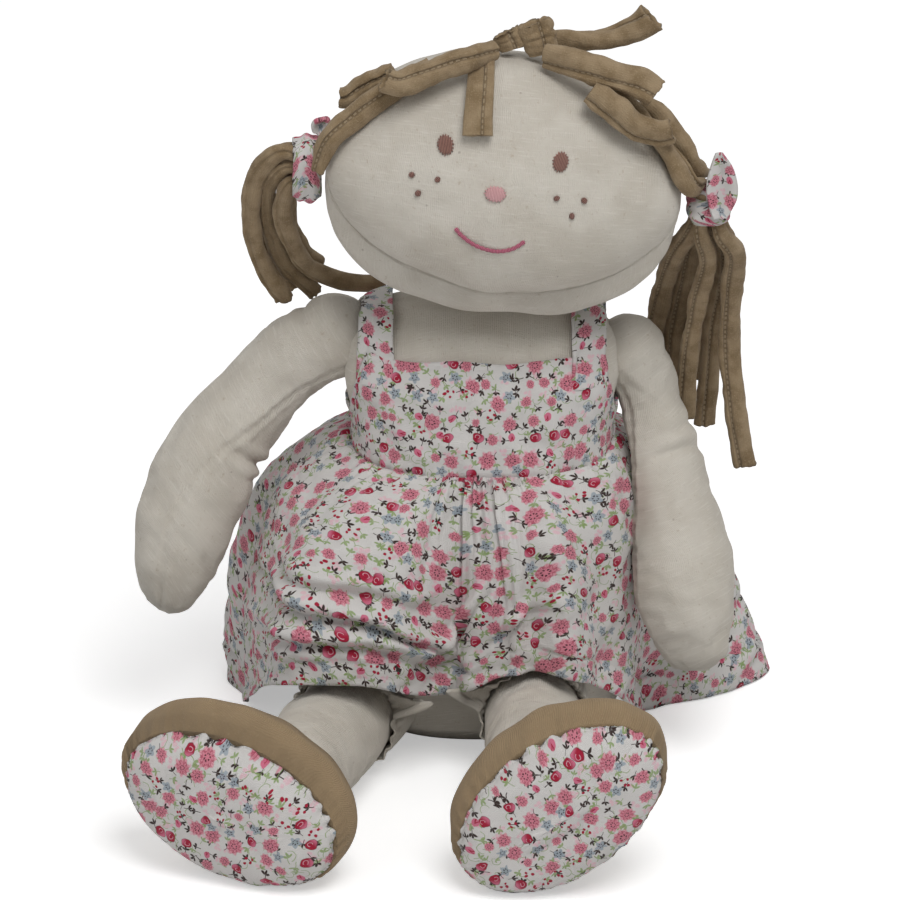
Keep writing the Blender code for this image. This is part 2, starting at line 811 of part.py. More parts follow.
def lift_off(mesh, distance):
    """Moves an open sheet off the surface that it was drawn on, square to that surface."""
    shape = bmesh.new()
    shape.from_mesh(mesh)
    shape.normal_update()
    moves = [(corner, corner.normal * distance) for corner in shape.verts]
    for corner, move in moves:
        corner.co += move
    shape.to_mesh(mesh)
    shape.free()


# The skirt's hem, clockwise from the front as seen from above, as shares of its spread, reach and drop
hem_shares = (
    (-0.04, -0.76, 0.53),
    (0.084, -0.84, 0.667),
    (0.16, -0.79, 0.69),
    (0.286, -0.84, 0.667),
    (0.42, -0.55, 0.40),
    (0.53, -0.23, 0.10),
    (0.60, -0.03, 0.0),
    (0.80, 0.08, 0.0),
    (0.98, 0.40, 0.0),
    (0.82, 0.80, 0.0),
    (0.42, 0.95, 0.0),
    (0.0, 1.0, 0.0),
    (-0.42, 0.95, 0.0),
    (-0.76, 0.68, 0.0),
    (-0.86, 0.26, 0.0),
    (-0.80, -0.02, 0.03),
    (-0.76, -0.45, 0.36),
    (-0.64, -0.905, 0.66),
    (-0.336, -0.97, 0.66),
    (-0.126, -0.74, 0.48),
)
# How far out each of those columns bows before it falls
skirt_swell_shares = (
    0.7, 0.7, 0.7, 0.75, 0.95, 1.15, 0.85, 0.5, 0.45, 0.7,
    0.8, 0.85, 0.85, 0.9, 0.95, 0.95, 0.95, 0.85, 0.75, 0.7,
)
skirt_columns = 52
skirt_rows = 8
skirt_shoulder_share = 0.04


def closed_path(points, count):
    """A smooth closed curve through a ring of points."""
    points = np.array(points, float)
    total = len(points)
    places = np.arange(count) * total / count
    spans = places.astype(int)
    t = (places - spans)[:, None]
    a, b, c, d = (points[(spans + shift) % total] for shift in (-1, 0, 1, 2))
    return 0.5 * (2 * b + (c - a) * t + (2 * a - 5 * b + 4 * c - d) * t**2 + (3 * b - a - 3 * c + d) * t**3)


def skirt():
    """Gathered cloth: each column bows out from the waist and falls to the hem, with pleats that open down."""
    sizes = np.array((skirt_spread, skirt_reach, skirt_drop))
    hem = closed_path(hem_shares, skirt_columns) * sizes
    hem[:, 2] = np.maximum(hem[:, 2], -floor_cut)
    half_width, half_depth, middle = body_section(waist_height, cloth_room)
    across, along = hem[:, 0] / half_width, (hem[:, 1] - middle) / half_depth
    reach = (np.abs(across) ** body_power + np.abs(along) ** body_power) ** (1 / body_power)
    waist_level = np.full(skirt_columns, waist_height)
    waist = np.stack([half_width * across / reach, middle + half_depth * along / reach, waist_level], axis=1)
    level = (hem - waist) * np.array((1.0, 1.0, 0.0))
    outward = level / np.linalg.norm(level, axis=1)[:, None]
    swell = closed_path([(share,) for share in skirt_swell_shares], skirt_columns)
    bow = waist + level * swell + (hem - waist) * np.array((0.0, 0.0, skirt_shoulder_share))
    pleat = np.cos(2 * math.pi * fold_count * np.arange(skirt_columns) / skirt_columns)[:, None]
    rings = []
    for row in range(skirt_rows + 1):
        t = row / skirt_rows
        line = waist * (1 - t) ** 2 + bow * 2 * t * (1 - t) + hem * t**2
        rings.append([tuple(point) for point in line + outward * pleat * fold_depth * t * (fold_growth - t)])
    mesh = loft_mesh("skirt", rings)
    face_from_centre(mesh, Vector((0, middle, waist_height / 2)))
    return cut(thicken(add_piece("skirt", mesh, "print", "body")), floor_cutter)


def back_button():
    height = (waist_height + bodice_height * 2) / 3
    shape = bmesh.new()
    low, top = button_radius, button_radius * button_top_share
    sides, depth = 2 * core_sides, button_thickness
    bmesh.ops.create_cone(shape, cap_ends=True, segments=sides, radius1=low, radius2=top, depth=depth)
    mesh = bpy.data.meshes.new("back_button")
    shape.to_mesh(mesh)
    shape.free()
    above = body_wall(0, height + button_radius, cloth_room, back=True)
    below = body_wall(0, height - button_radius, cloth_room, back=True)
    lean = above - below
    tilt = math.atan2(lean, 2 * button_radius)
    mesh.transform(Matrix.Rotation(-math.pi / 2 - tilt, 4, "X"))
    seat = body_wall(0, height, cloth_room, back=True) + button_thickness / 2 + gap
    mesh.transform(Matrix.Translation((0, seat, height)))
    return add_piece("back_button", mesh, "button", "body")


# Hair: tubes sewn in at the head's top seam. A lock lies on the head's outline: its route is given by angle
# round the outline in degrees, and by its distances outwards and backwards in shares of the tube's radius.

lock_route_shares = {
    "right_side": ((121, 0.7, -2.0), (130, 0.5, -2.2), (140, 0.4, -2.3), (152, 0.5, -2.1), (164, 0.9, -1.8)),
    "right_behind": ((132, 1.1, 0.3), (139, 1.1, 0.6), (146, 1.15, 0.8), (153, 1.3, 1.2)),
    "left_side": ((60, 0.7, -2.2), (50, 0.5, -2.3), (38, 0.4, -2.3), (25, 0.5, -2.1), (12, 0.9, -1.4)),
    "left_behind": ((46, 1.1, 0.3), (37, 1.1, 0.6), (27, 1.15, 0.8), (15, 1.3, 1.4)),
    "right_short": ((100, 0.9, -2.2), (111, 0.7, -4.1), (124, 0.6, -4.6), (137, 1.0, -4.6)),
    "left_short": ((80, 1.0, -2.2), (69, 1.4, -4.0), (57, 2.3, -4.7), (47, 3.5, -4.7)),
}
lock_end_shares = {
    "right_side": (0.41, 1.80, 0.27),
    "left_side": (-0.32, 0.30, 0.36),
    "left_behind": (-0.20, -0.85, 0.36),
}
# These leave the outline: places across and up as shares of the head's size, and backwards as above
free_route_shares = {
    "lock_left_long": ((0.20, 0.42, -5.2), (0.27, 0.36, -5.4), (0.34, 0.29, -5.0), (0.44, 0.27, -4.6)),
    "tuft_short": ((-0.02, 0.53, 0.0), (-0.03, 0.565, 0.1), (-0.045, 0.60, 0.1)),
    "tuft_wide": ((0.065, 0.53, -0.2), (0.05, 0.59, -0.3), (0.03, 0.66, -0.5)),
    "tuft_twisted": ((0.085, 0.57, 2.5), (0.16, 0.585, 1.9), (0.25, 0.615, 1.3), (0.36, 0.70, 1.0)),
}
fringe_shares = ((-0.10, 0.515), (-0.10, 0.44), (-0.10, 0.35), (-0.10, 0.26), (-0.097, 0.185))
fringe_width = 0.0105
fringe_thickness = 0.003
slope_share = 0.02

# Strands hang from the ties. Routes are shares of the strand length from each tie: outwards, forwards and up.
strand_length = 0.100
tie_power = 3.2
# The knots' places from the head's middle, as shares of half its width
tie_place_shares = {"right": (-1.1143, 0.2071, -0.0471), "left": (1.1429, 0.1429, -0.2329)}
head_middle = Vector((head_across, -head_forward, head_rise))
tie_places = {side: head_middle + Vector(share) * head_width / 2 for side, share in tie_place_shares.items()}
# Routes of the knot's tab and of the standing loop, and the widths along them, as shares of the strip's width
tab_width_share = 0.55
tab_route_shares = ((0.0, 0.0, 0.0), (0.15, 0.05, 0.28), (0.30, 0.10, 0.50), (0.40, 0.10, 0.66))
loop_width_share = 0.95
loop_route_shares = ((0.0, 0.0, 0.0), (0.08, 0.08, 0.9), (0.05, 0.08, 1.8), (-0.04, 0.0, 2.55))
ribbon_width_shares = (0.45, 0.75, 0.95, 1.0, 0.95, 0.75, 0.45)
# How wide a tube is where it is sewn in, tied and cut
sewn_share = 0.85
tied_share = 0.55
cut_share = 0.9
strand_tied_share = 0.6
strand_cut_share = 0.85
tube_opening_shares = (0.0, 0.35, 0.8)
tuft_wide_share = 1.25
lock_points = 8
strand_points = 11
strand_route_shares = {
    "right": {
        "a": (
            (0, 0.03, 0.05),
            (0.105, 0.035, 0.08),
            (0.20, -0.025, -0.05),
            (0.225, -0.125, -0.29),
            (0.18, -0.215, -0.51),
            (0.10, -0.285, -0.69),
        ),
        "b": (
            (0, 0.03, 0),
            (0.09, 0.015, 0.005),
            (0.155, -0.085, -0.13),
            (0.15, -0.205, -0.35),
            (0.09, -0.305, -0.55),
            (-0.02, -0.375, -0.70),
        ),
        "c": (
            (0, 0.03, -0.045),
            (0.07, 0.03, -0.056),
            (0.10, -0.065, -0.22),
            (0.062, -0.18, -0.40),
            (0, -0.305, -0.56),
            (-0.14, -0.385, -0.66),
            (-0.29, -0.425, -0.69),
        ),
        "d": (
            (0, -0.035, 0.045),
            (0.09, -0.065, 0.045),
            (0.165, -0.165, -0.10),
            (0.185, -0.275, -0.32),
            (0.14, -0.345, -0.52),
            (0.07, -0.405, -0.69),
        ),
        "e": (
            (0, -0.03, -0.025),
            (0.080, -0.070, -0.033),
            (0.085, -0.185, -0.19),
            (0.075, -0.30, -0.37),
            (0.03, -0.395, -0.52),
            (-0.03, -0.46, -0.61),
        ),
    },
    "left": {
        "a": (
            (-0.025, 0, 0),
            (-0.062, -0.025, -0.12),
            (-0.125, -0.19, -0.30),
            (-0.16, -0.36, -0.50),
            (-0.19, -0.45, -0.70),
            (-0.22, -0.50, -0.89),
        ),
        "b": (
            (-0.035, -0.055, 0),
            (-0.04, -0.10, -0.12),
            (-0.055, -0.27, -0.30),
            (-0.085, -0.41, -0.54),
            (-0.12, -0.50, -0.78),
            (-0.13, -0.54, -1.0),
        ),
        "c": (
            (0.03, -0.055, 0),
            (0.04, -0.11, -0.12),
            (0.02, -0.29, -0.30),
            (0, -0.41, -0.54),
            (-0.03, -0.49, -0.77),
            (-0.04, -0.52, -0.99),
        ),
        "d": (
            (-0.035, 0.065, 0),
            (-0.03, 0.05, -0.12),
            (0.0, -0.05, -0.27),
            (-0.03, -0.17, -0.48),
            (-0.055, -0.25, -0.70),
            (-0.07, -0.31, -0.90),
            (-0.07, -0.34, -1.08),
        ),
        "e": (
            (0.03, 0, 0),
            (0.05, -0.02, -0.12),
            (0.075, -0.13, -0.25),
            (0.07, -0.27, -0.45),
            (0.035, -0.37, -0.70),
            (0.02, -0.41, -0.94),
            (0.005, -0.42, -1.15),
        ),
        "f": (
            (0.022, 0.055, 0),
            (0.05, 0.06, -0.11),
            (0.105, -0.01, -0.22),
            (0.10, -0.14, -0.42),
            (0.095, -0.23, -0.70),
            (0.12, -0.25, -0.98),
            (0.165, -0.26, -1.26),
        ),
    },
}


def hair_tube(name, route, radius, start_share, end_share, points):
    """A stuffless tube of jersey as a curve, pinched where it is sewn or tied."""
    path = smooth_path(route, points)
    curve = bpy.data.curves.new(name, "CURVE")
    curve.dimensions = "3D"
    curve.bevel_depth = radius
    curve.bevel_resolution = 1
    curve.use_fill_caps = True
    spline = curve.splines.new("POLY")
    spline.points.add(points - 1)
    shares = np.ones(points)
    shares[: len(tube_opening_shares)] = start_share + (1.0 - start_share) * np.array(tube_opening_shares)
    shares[-1] = end_share
    for point, place, share in zip(spline.points, path, shares):
        point.co = (*place, 1.0)
        point.radius = float(share)
    holder = bpy.data.objects.new(name + "_route", curve)
    bpy.context.scene.collection.objects.link(holder)
    seen = holder.evaluated_get(bpy.context.evaluated_depsgraph_get())
    mesh = bpy.data.meshes.new_from_object(seen)
    mesh.name = name
    mesh.materials.clear()
    bpy.data.objects.remove(holder, do_unlink=True)
    shape = bmesh.new()
    shape.from_mesh(mesh)
    bmesh.ops.remove_doubles(shape, verts=shape.verts, dist=gap / 10)
    bmesh.ops.recalc_face_normals(shape, faces=shape.faces)
    shape.to_mesh(mesh)
    shape.free()
    return add_piece(name, mesh, "taupe", "head")


def outline_place(angle, out, back):
    """A place off the head's outline, at a depth behind the seam, in the face's own plane."""
    depth = max(back * tube_radius, 0.0) / head_back_depth
    swell = float(np.interp(depth, back_depth_shares, back_swell_shares))
    power = seam_power + (back_power - seam_power) * min(1.0, swell + 2 * depth)
    half_x, half_z = head_width / 2, head_height / 2 + swell * head_crown_swell
    turn = math.radians(angle)
    c, s = math.cos(turn), math.sin(turn)
    x = half_x * math.copysign(abs(c) ** (2 / power), c)
    z = half_z * abs(s) ** (2 / power)
    slope_x = math.copysign(abs(x / half_x) ** (power - 1), x) / half_x
    slope_z = (z / half_z) ** (power - 1) / half_z
    normal = Vector((slope_x, 0, slope_z)).normalized()
    sag = head_tip_sag * (x / half_x) ** 2
    return Vector((x, back * tube_radius, z - sag)) + normal * out * tube_radius


def locks():
    place = head_place()
    for name, shares in lock_route_shares.items():
        route = [tuple(place @ outline_place(*share)) for share in shares]
        tied = name in lock_end_shares
        if tied:
            across, forward, up = lock_end_shares[name]
            knot = tie_places[name.split("_")[0]]
            route.append(tuple(knot + Vector((across * tie_band, -forward * tie_band, up * tie_height))))
        end_share = tied_share if tied else cut_share
        hair_tube("hair_lock_" + name, route, tube_radius, sewn_share, end_share, lock_points)
    for name, shares in free_route_shares.items():
        route = []
        for across, up, back in shares:
            route.append(tuple(place @ Vector((across * head_width, back * tube_radius, up * head_height))))
        width_share = tuft_wide_share if name == "tuft_wide" else 1.0
        hair_tube("hair_" + name, route, tube_radius * width_share, sewn_share, cut_share, lock_points)


def fringe():
    """A flat strip that follows the face down from the seam."""
    place = head_place()
    step = head_height * slope_share
    rings = []
    for across, up in fringe_shares:
        line = []
        for share in (-0.5, 0.0, 0.5):
            x, z = across * head_width + share * fringe_width, up * head_height
            slope_x = (face_depth(x + step, z) - face_depth(x - step, z)) / (2 * step)
            slope_z = (face_depth(x, z + step) - face_depth(x, z - step)) / (2 * step)
            normal = Vector((-slope_x, -1.0, -slope_z)).normalized()
            spot = Vector((x, -face_depth(x, z), z)) + normal * (fringe_thickness + 3 * gap)
            line.append(tuple(place @ spot))
        rings.append(line)
    mesh = loft_mesh("hair_fringe", rings, closed=False)
    face_from_centre(mesh, place @ Vector((0, head_back_depth, 0)))
    return thicken(add_piece("hair_fringe", mesh, "taupe", "head"), fringe_thickness)


def strands():
    for side_name, side in (("right", -1), ("left", 1)):
        tie = np.array(tie_places[side_name])
        for letter, shares in strand_route_shares[side_name].items():
            shares = np.array(shares) * (side, -1, 1)
            route = tie + strand_length * shares
            name = "hair_strand_%s_%s" % (side_name, letter)
            hair_tube(name, route, strand_radius, strand_tied_share, strand_cut_share, strand_points)


def tie(side_name, axis):
    """A printed strip round the bunch, as a short oval sleeve."""
    centre = tie_places[side_name]
    rings = []
    for share in (-0.5, 0.0, 0.5):
        swell = 1.0 - tie_round_share * share**2
        breadth = tie_depth if axis == "X" else tie_left_width
        outline = oval(breadth / 2 * swell, tie_height / 2 * swell, tie_power, ball_sides)
        if axis == "X":
            rings.append([(centre.x + share * tie_band, centre.y + y, centre.z + z) for y, z in outline])
        else:
            rings.append([(centre.x + y, centre.y + z, centre.z + share * tie_band) for y, z in outline])
    name = "tie_" + side_name + "_band"
    mesh = loft_mesh(name, rings)
    face_from_centre(mesh, centre)
    return thicken(add_piece(name, mesh, "print", "head"))


def tie_ends():
    """The knot's tab on one side, and a standing loop of the strip on the other."""
    base = tie_places["right"] + Vector((tie_band / 3, 0, tie_height / 2 + 4 * gap))
    ribbon("tie_right_tab", base, tab_route_shares, tab_width_share)
    base = tie_places["left"] + Vector((tie_band / 3, -tie_depth / 2 - 3 * cloth, 0))
    ribbon("tie_left_loop", base, loop_route_shares, loop_width_share)


def ribbon(name, base, route_shares, width_share):
    """A short folded strip, standing on its base and widest in its middle."""
    route = [tuple(base + Vector((u, -v, w)) * tie_band) for u, v, w in route_shares]
    path = smooth_path(route, len(ribbon_width_shares))
    widths = tie_band * width_share * np.array(ribbon_width_shares) / 2
    tangents, sides, ups = frames_along(path, (0.0, 1.0, 0.0))
    rings = [[tuple(p - s * w), tuple(p), tuple(p + s * w)] for p, s, w in zip(path, sides, widths)]
    mesh = loft_mesh(name, rings, closed=False)
    face_from_centre(mesh, Vector((0, 0, head_rise)))
    return thicken(add_piece(name, mesh, "print", "head"), 2 * cloth)


# Assembly

clear_scene()
parts = new_collection("rag_doll")
cutters = new_collection("cutters")


def pivot(name, place):
    empty = bpy.data.objects.new("pivot_" + name, None)
    empty.location = place
    parts.objects.link(empty)
    return empty


bodies = {
    "body": pivot("body", (0, 0, 0)),
    "neck": pivot("neck", (0, 0, neck_height)),
    "head": pivot("head", (0, 0, neck_height + neck_length)),
}
for side_name, side in (("right", -1), ("left", 1)):
    bodies["arm_" + side_name] = pivot("arm_" + side_name, shoulder_place(side))
    bodies["leg_" + side_name] = pivot("leg_" + side_name, hip_place(side))
bpy.context.view_layer.update()

floor_cutter = add_cutter(
    "floor", box_mesh("floor", (-floor_spread, -floor_spread, -overrun), (floor_spread, floor_spread, 0))
)
neck_cutter = neck_socket()
collar_cutter = ball_cutter("collar", (0, 0, neck_height), neck_ball + joint_gap)
armhole_tools = [
    ball_cutter("armhole_" + name, shoulder_place(side), arm_top_radius + armhole_room)
    for name, side in (("right", -1), ("left", 1))
]
shoulder_tools = [
    ball_cutter("shoulder_" + name, shoulder_place(side), arm_top_radius + 2 * joint_gap)
    for name, side in (("right", -1), ("left", 1))
]
hip_tools = [
    leg_sweep_cutter("hip_" + name, side, 3 * joint_gap)
    for name, side in (("right", -1), ("left", 1))
]
body_tools = [collar_cutter] + shoulder_tools + hip_tools

body_panel("body_front", back=False)
body_panel("body_back", back=True)
body_stuffing()
neck()
head()
knickers_seat()
for side_name, side in (("right", -1), ("left", 1)):
    arm(side_name, side)
    leg(side_name, side)
    knickers_leg(side_name, side)
    strap(side_name, side)

seam = 2 * gap / body_width
half, quarter = math.pi, math.pi / 2
half_count, quarter_count = ring_sides // 2 + 1, ring_sides // 4 + 1
bodice_panel("bodice_front", half + seam, half - 2 * seam, half_count, armhole_tools)
bodice_panel("bodice_back_left", seam, quarter - 2 * seam, quarter_count, armhole_tools[1:])
bodice_panel("bodice_back_right", quarter + seam, quarter - 2 * seam, quarter_count, armhole_tools[:1])
skirt()
back_button()
fringe()
locks()
strands()
tie("right", "X")
tie("left", "Z")
tie_ends()
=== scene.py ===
# Sitting rag doll: the cloth, padding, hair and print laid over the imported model.
# Metres, +Z up. The doll faces -Y and its own left is +X.
import math
import time

import bpy
import numpy as np
from mathutils import Matrix, Vector


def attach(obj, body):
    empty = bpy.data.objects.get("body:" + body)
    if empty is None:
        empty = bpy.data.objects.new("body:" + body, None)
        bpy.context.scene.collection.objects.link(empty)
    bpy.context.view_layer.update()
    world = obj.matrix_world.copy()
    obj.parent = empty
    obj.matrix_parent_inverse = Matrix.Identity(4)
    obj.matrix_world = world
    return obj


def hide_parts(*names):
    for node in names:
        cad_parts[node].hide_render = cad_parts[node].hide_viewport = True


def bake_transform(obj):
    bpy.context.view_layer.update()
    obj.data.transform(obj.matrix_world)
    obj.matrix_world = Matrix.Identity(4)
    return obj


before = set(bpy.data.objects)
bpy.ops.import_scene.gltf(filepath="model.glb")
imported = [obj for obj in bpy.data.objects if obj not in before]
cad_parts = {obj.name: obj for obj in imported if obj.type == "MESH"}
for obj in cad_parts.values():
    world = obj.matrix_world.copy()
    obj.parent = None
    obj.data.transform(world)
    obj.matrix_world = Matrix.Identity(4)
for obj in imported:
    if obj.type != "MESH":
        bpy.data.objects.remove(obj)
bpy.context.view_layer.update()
print("frame loaded:", len(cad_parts), "nodes")

mm = 0.001


# ---- shader maths

class Wire:
    # A socket in a material's nodes. Sums on it add Math nodes.
    def __init__(self, tree, socket=None):
        self.tree = tree
        self.socket = socket

    def node(self, kind, settings=None, inputs=None, output=0):
        # Any node: its settings first, then the values or links of its sockets.
        made = self.tree.nodes.new(kind)
        for key, value in (settings or {}).items():
            if key == "stops":
                ramp = made.color_ramp
                ramp.elements.remove(ramp.elements[-1])
                ramp.elements[0].position, ramp.elements[0].color = value[0][0], (*value[0][1], 1.0)
                for place, colour in value[1:]:
                    ramp.elements.new(place).color = (*colour, 1.0)
            else:
                setattr(made, key, value)
        for key, value in (inputs or {}).items():
            if isinstance(value, Wire):
                self.tree.links.new(value.socket, made.inputs[key])
            else:
                made.inputs[key].default_value = value
        return Wire(self.tree, made.outputs[output])

    def other(self, output):
        # Another output of the same node.
        return Wire(self.tree, self.socket.node.outputs[output])

    def math(self, operation, *values, clamp=False):
        inputs = dict(enumerate((self, *values)))
        return self.node("ShaderNodeMath", {"operation": operation, "use_clamp": clamp}, inputs)

    def reversedMath(self, operation, value):
        return self.node("ShaderNodeMath", {"operation": operation}, {0: value, 1: self})

    def vector(self, operation, *values):
        return self.node("ShaderNodeVectorMath", {"operation": operation}, dict(enumerate((self, *values))))

    def scaled(self, x, y, z=1.0):
        return self.vector("MULTIPLY", (x, y, z))

    def parts(self):
        split = self.node("ShaderNodeSeparateXYZ", {}, {0: self})
        return split, split.other(1), split.other(2)

    def mix(self, first, second):
        # first where this is 0 and second where it is 1
        values = {0: self}
        for place, value in ((6, first), (7, second)):
            values[place] = value if isinstance(value, Wire) else (*value, 1.0)
        return self.node("ShaderNodeMix", {"data_type": "RGBA"}, values, 2)

    def clamped(self):
        return self.math("ADD", 0.0, clamp=True)

    def steps(self, low, high):
        # 0 below low, 1 above high, and smooth between
        values = {"Value": self, "From Min": low, "From Max": high}
        return self.node("ShaderNodeMapRange", {"interpolation_type": "SMOOTHSTEP"}, values)

    def __add__(self, value):
        return self.math("ADD", value)

    def __radd__(self, value):
        return self.math("ADD", value)

    def __sub__(self, value):
        return self.math("SUBTRACT", value)

    def __rsub__(self, value):
        return self.reversedMath("SUBTRACT", value)

    def __mul__(self, value):
        return self.math("MULTIPLY", value)

    def __rmul__(self, value):
        return self.math("MULTIPLY", value)

    def __truediv__(self, value):
        return self.math("DIVIDE", value)

    def __pow__(self, value):
        return self.math("POWER", value)

    def __lt__(self, value):
        return self.math("LESS_THAN", value)

    def __gt__(self, value):
        return self.math("GREATER_THAN", value)


def screen(red, green, blue):
    # A colour as it looks on screen, 0 to 255, turned to the linear one that a shader takes.
    shares = np.array((red, green, blue)) / 255
    linear = np.where(shares <= 0.04045, shares / 12.92, ((shares + 0.055) / 1.055) ** 2.4)
    return tuple(float(share) for share in linear)


def newMaterial(name, roughness=0.9, sheen=0.0):
    material = bpy.data.materials.new(name)
    material.use_nodes = True
    shader = material.node_tree.nodes["Principled BSDF"]
    shader.inputs["Roughness"].default_value = roughness
    shader.inputs["Specular IOR Level"].default_value = 0.25
    shader.inputs["Sheen Weight"].default_value = sheen
    shader.inputs["Sheen Roughness"].default_value = 0.6
    return material, Wire(material.node_tree), shader


def finishMaterial(start, shader, colour, height, distance, roughness=None):
    tree = start.tree
    tree.links.new(colour.socket, shader.inputs["Base Color"])
    bump = start.node("ShaderNodeBump", {}, {"Height": height, "Distance": distance, "Strength": 1.0})
    tree.links.new(bump.socket, shader.inputs["Normal"])
    if roughness is not None:
        tree.links.new(roughness.socket, shader.inputs["Roughness"])


def noise(start, vector, scale, detail=2.0, roughness=0.5):
    values = {"Vector": vector, "Scale": scale, "Detail": detail, "Roughness": roughness}
    return start.node("ShaderNodeTexNoise", {"noise_dimensions": "3D"}, values)


def clothPlace(start):
    return start.node("ShaderNodeUVMap", {"uv_map": "cloth"})


# ---- finishes

creamSettings = {
    "colour": screen(205, 199, 188),
    "shade": screen(194, 187, 175),
    "light": screen(219, 214, 205),
    "fleck": screen(158, 138, 114),
    "speck": screen(104, 84, 70),
    "wale": 0.00075,
}


def creamJersey(name="creamJersey", settings=creamSettings):
    # Unbleached knitted cotton: soft mottling, slubs along the rows, brown flecks and a few dark specks.
    material, start, shader = newMaterial(name, 0.92, 0.12)
    place = clothPlace(start)
    solid = start.node("ShaderNodeTexCoord", {}, {}, 3)
    mottle = noise(start, solid, 45.0, 3.0)
    slub = noise(start, place.scaled(110.0, 1300.0), 1.0, 2.0)
    column = noise(start, place.scaled(1500.0, 160.0), 1.0, 1.0)
    grain = noise(start, solid, 1100.0, 2.0)
    colour = mottle.steps(0.35, 0.65).mix(settings["shade"], settings["colour"])
    colour = (slub.steps(0.5, 0.75) * 0.45).mix(colour, settings["light"])
    colour = (column.steps(0.55, 0.8) * 0.25).mix(colour, settings["shade"])
    flecks = noise(start, solid.vector("ADD", (0.3, 0.1, 0.2)), 520.0, 2.0, 0.6)
    colour = (flecks.steps(0.62, 0.78) * 0.4).mix(colour, settings["fleck"])
    cell = start.node("ShaderNodeTexVoronoi", {"voronoi_dimensions": "3D"}, {"Vector": solid, "Scale": 85.0})
    colour = (cell.steps(0.06, 0.02) * 0.4).mix(colour, settings["speck"])
    wales = (place.parts()[0] * (2 * math.pi / settings["wale"])).math("SINE")
    height = wales * 0.25 + slub * 0.6 + grain * 0.9 + column * 0.3
    finishMaterial(start, shader, colour, height, 0.00022)
    return material


printSettings = {
    "ground": screen(212, 209, 206),
    "flowerCell": 7.5,
    "pink": screen(208, 126, 142),
    "petal": screen(224, 166, 176),
    "rose": screen(172, 78, 98),
    "centre": screen(74, 34, 40),
    "crimson": screen(160, 22, 52),
    "blush": screen(206, 110, 136),
    "blue": screen(154, 165, 174),
    "ink": screen(52, 54, 64),
    "brown": screen(52, 38, 34),
    "green": screen(132, 156, 92),
    "pale": screen(224, 176, 188),
}


def motifCells(start, place, size, randomness, shift):
    # Each cell holds one motif: its place from the cell's point in millimetres, turned, and two random numbers.
    moved = place.scaled(1000.0, 1000.0, 0.0).vector("ADD", (shift, shift * 1.7, 0.0))
    values = {"Vector": moved, "Scale": 1 / size, "Randomness": randomness}
    cell = start.node("ShaderNodeTexVoronoi", {"voronoi_dimensions": "2D"}, values)
    turn, kind, extra = cell.other("Color").parts()
    x, y, unused = moved.vector("SUBTRACT", cell.other("Position")).parts()
    angle = turn * (2 * math.pi)
    cosine, sine = angle.math("COSINE"), angle.math("SINE")
    return x * cosine + y * sine, y * cosine - x * sine, kind, extra


def inside(distance, edge, softness=0.22):
    # 1 where distance is less than edge, with a printed edge's softness
    return ((edge - distance) / softness).clamped()


def ovalDistance(x, y, centreX, centreY, halfX, halfY):
    across, along = (x - centreX) / halfX, (y - centreY) / halfY
    return (across * across + along * along).math("SQRT")


def between(value, low, high):
    return (value > low) * (value < high)


def petalRing(radius, angle, count, reach, depth):
    # 1 inside r = reach + depth cos(count a)
    return inside(radius, (angle * count).math("COSINE") * depth + reach)


def zinnia(x, y, settings, size, extra):
    # Two rings of petals with darker gaps, worn inks, and a dotted middle.
    radius = (x * x + y * y).math("SQRT") / size
    angle = y.math("ARCTAN2", x) + extra * 3.0
    nine = (angle * 9.0).math("COSINE")
    edge = nine * 0.34 + 3.3
    petals = inside(radius, edge, 0.5)
    gaps = ((nine < -0.5) * (radius > 1.6)).math("MAXIMUM", inside(edge - radius, 0.42, 0.3))
    ring = (angle * 7.0 + 1.0).math("COSINE") * 0.4 + 2.1
    gaps = gaps.math("MAXIMUM", inside((ring - radius).math("ABSOLUTE"), 0.24, 0.2))
    strokes = ((angle * 31.0).math("SINE") > 0.62) * (radius > 1.0) * 0.5
    colour = (radius.steps(0.8, 3.6)).mix(settings["pink"], settings["petal"])
    colour = strokes.math("MAXIMUM", gaps * 0.85).mix(colour, settings["rose"])
    dots = inside((radius - 0.95).math("ABSOLUTE"), 0.36, 0.2) * ((angle * 7.0).math("COSINE") > -0.1)
    return petals, dots.mix(colour, settings["centre"])


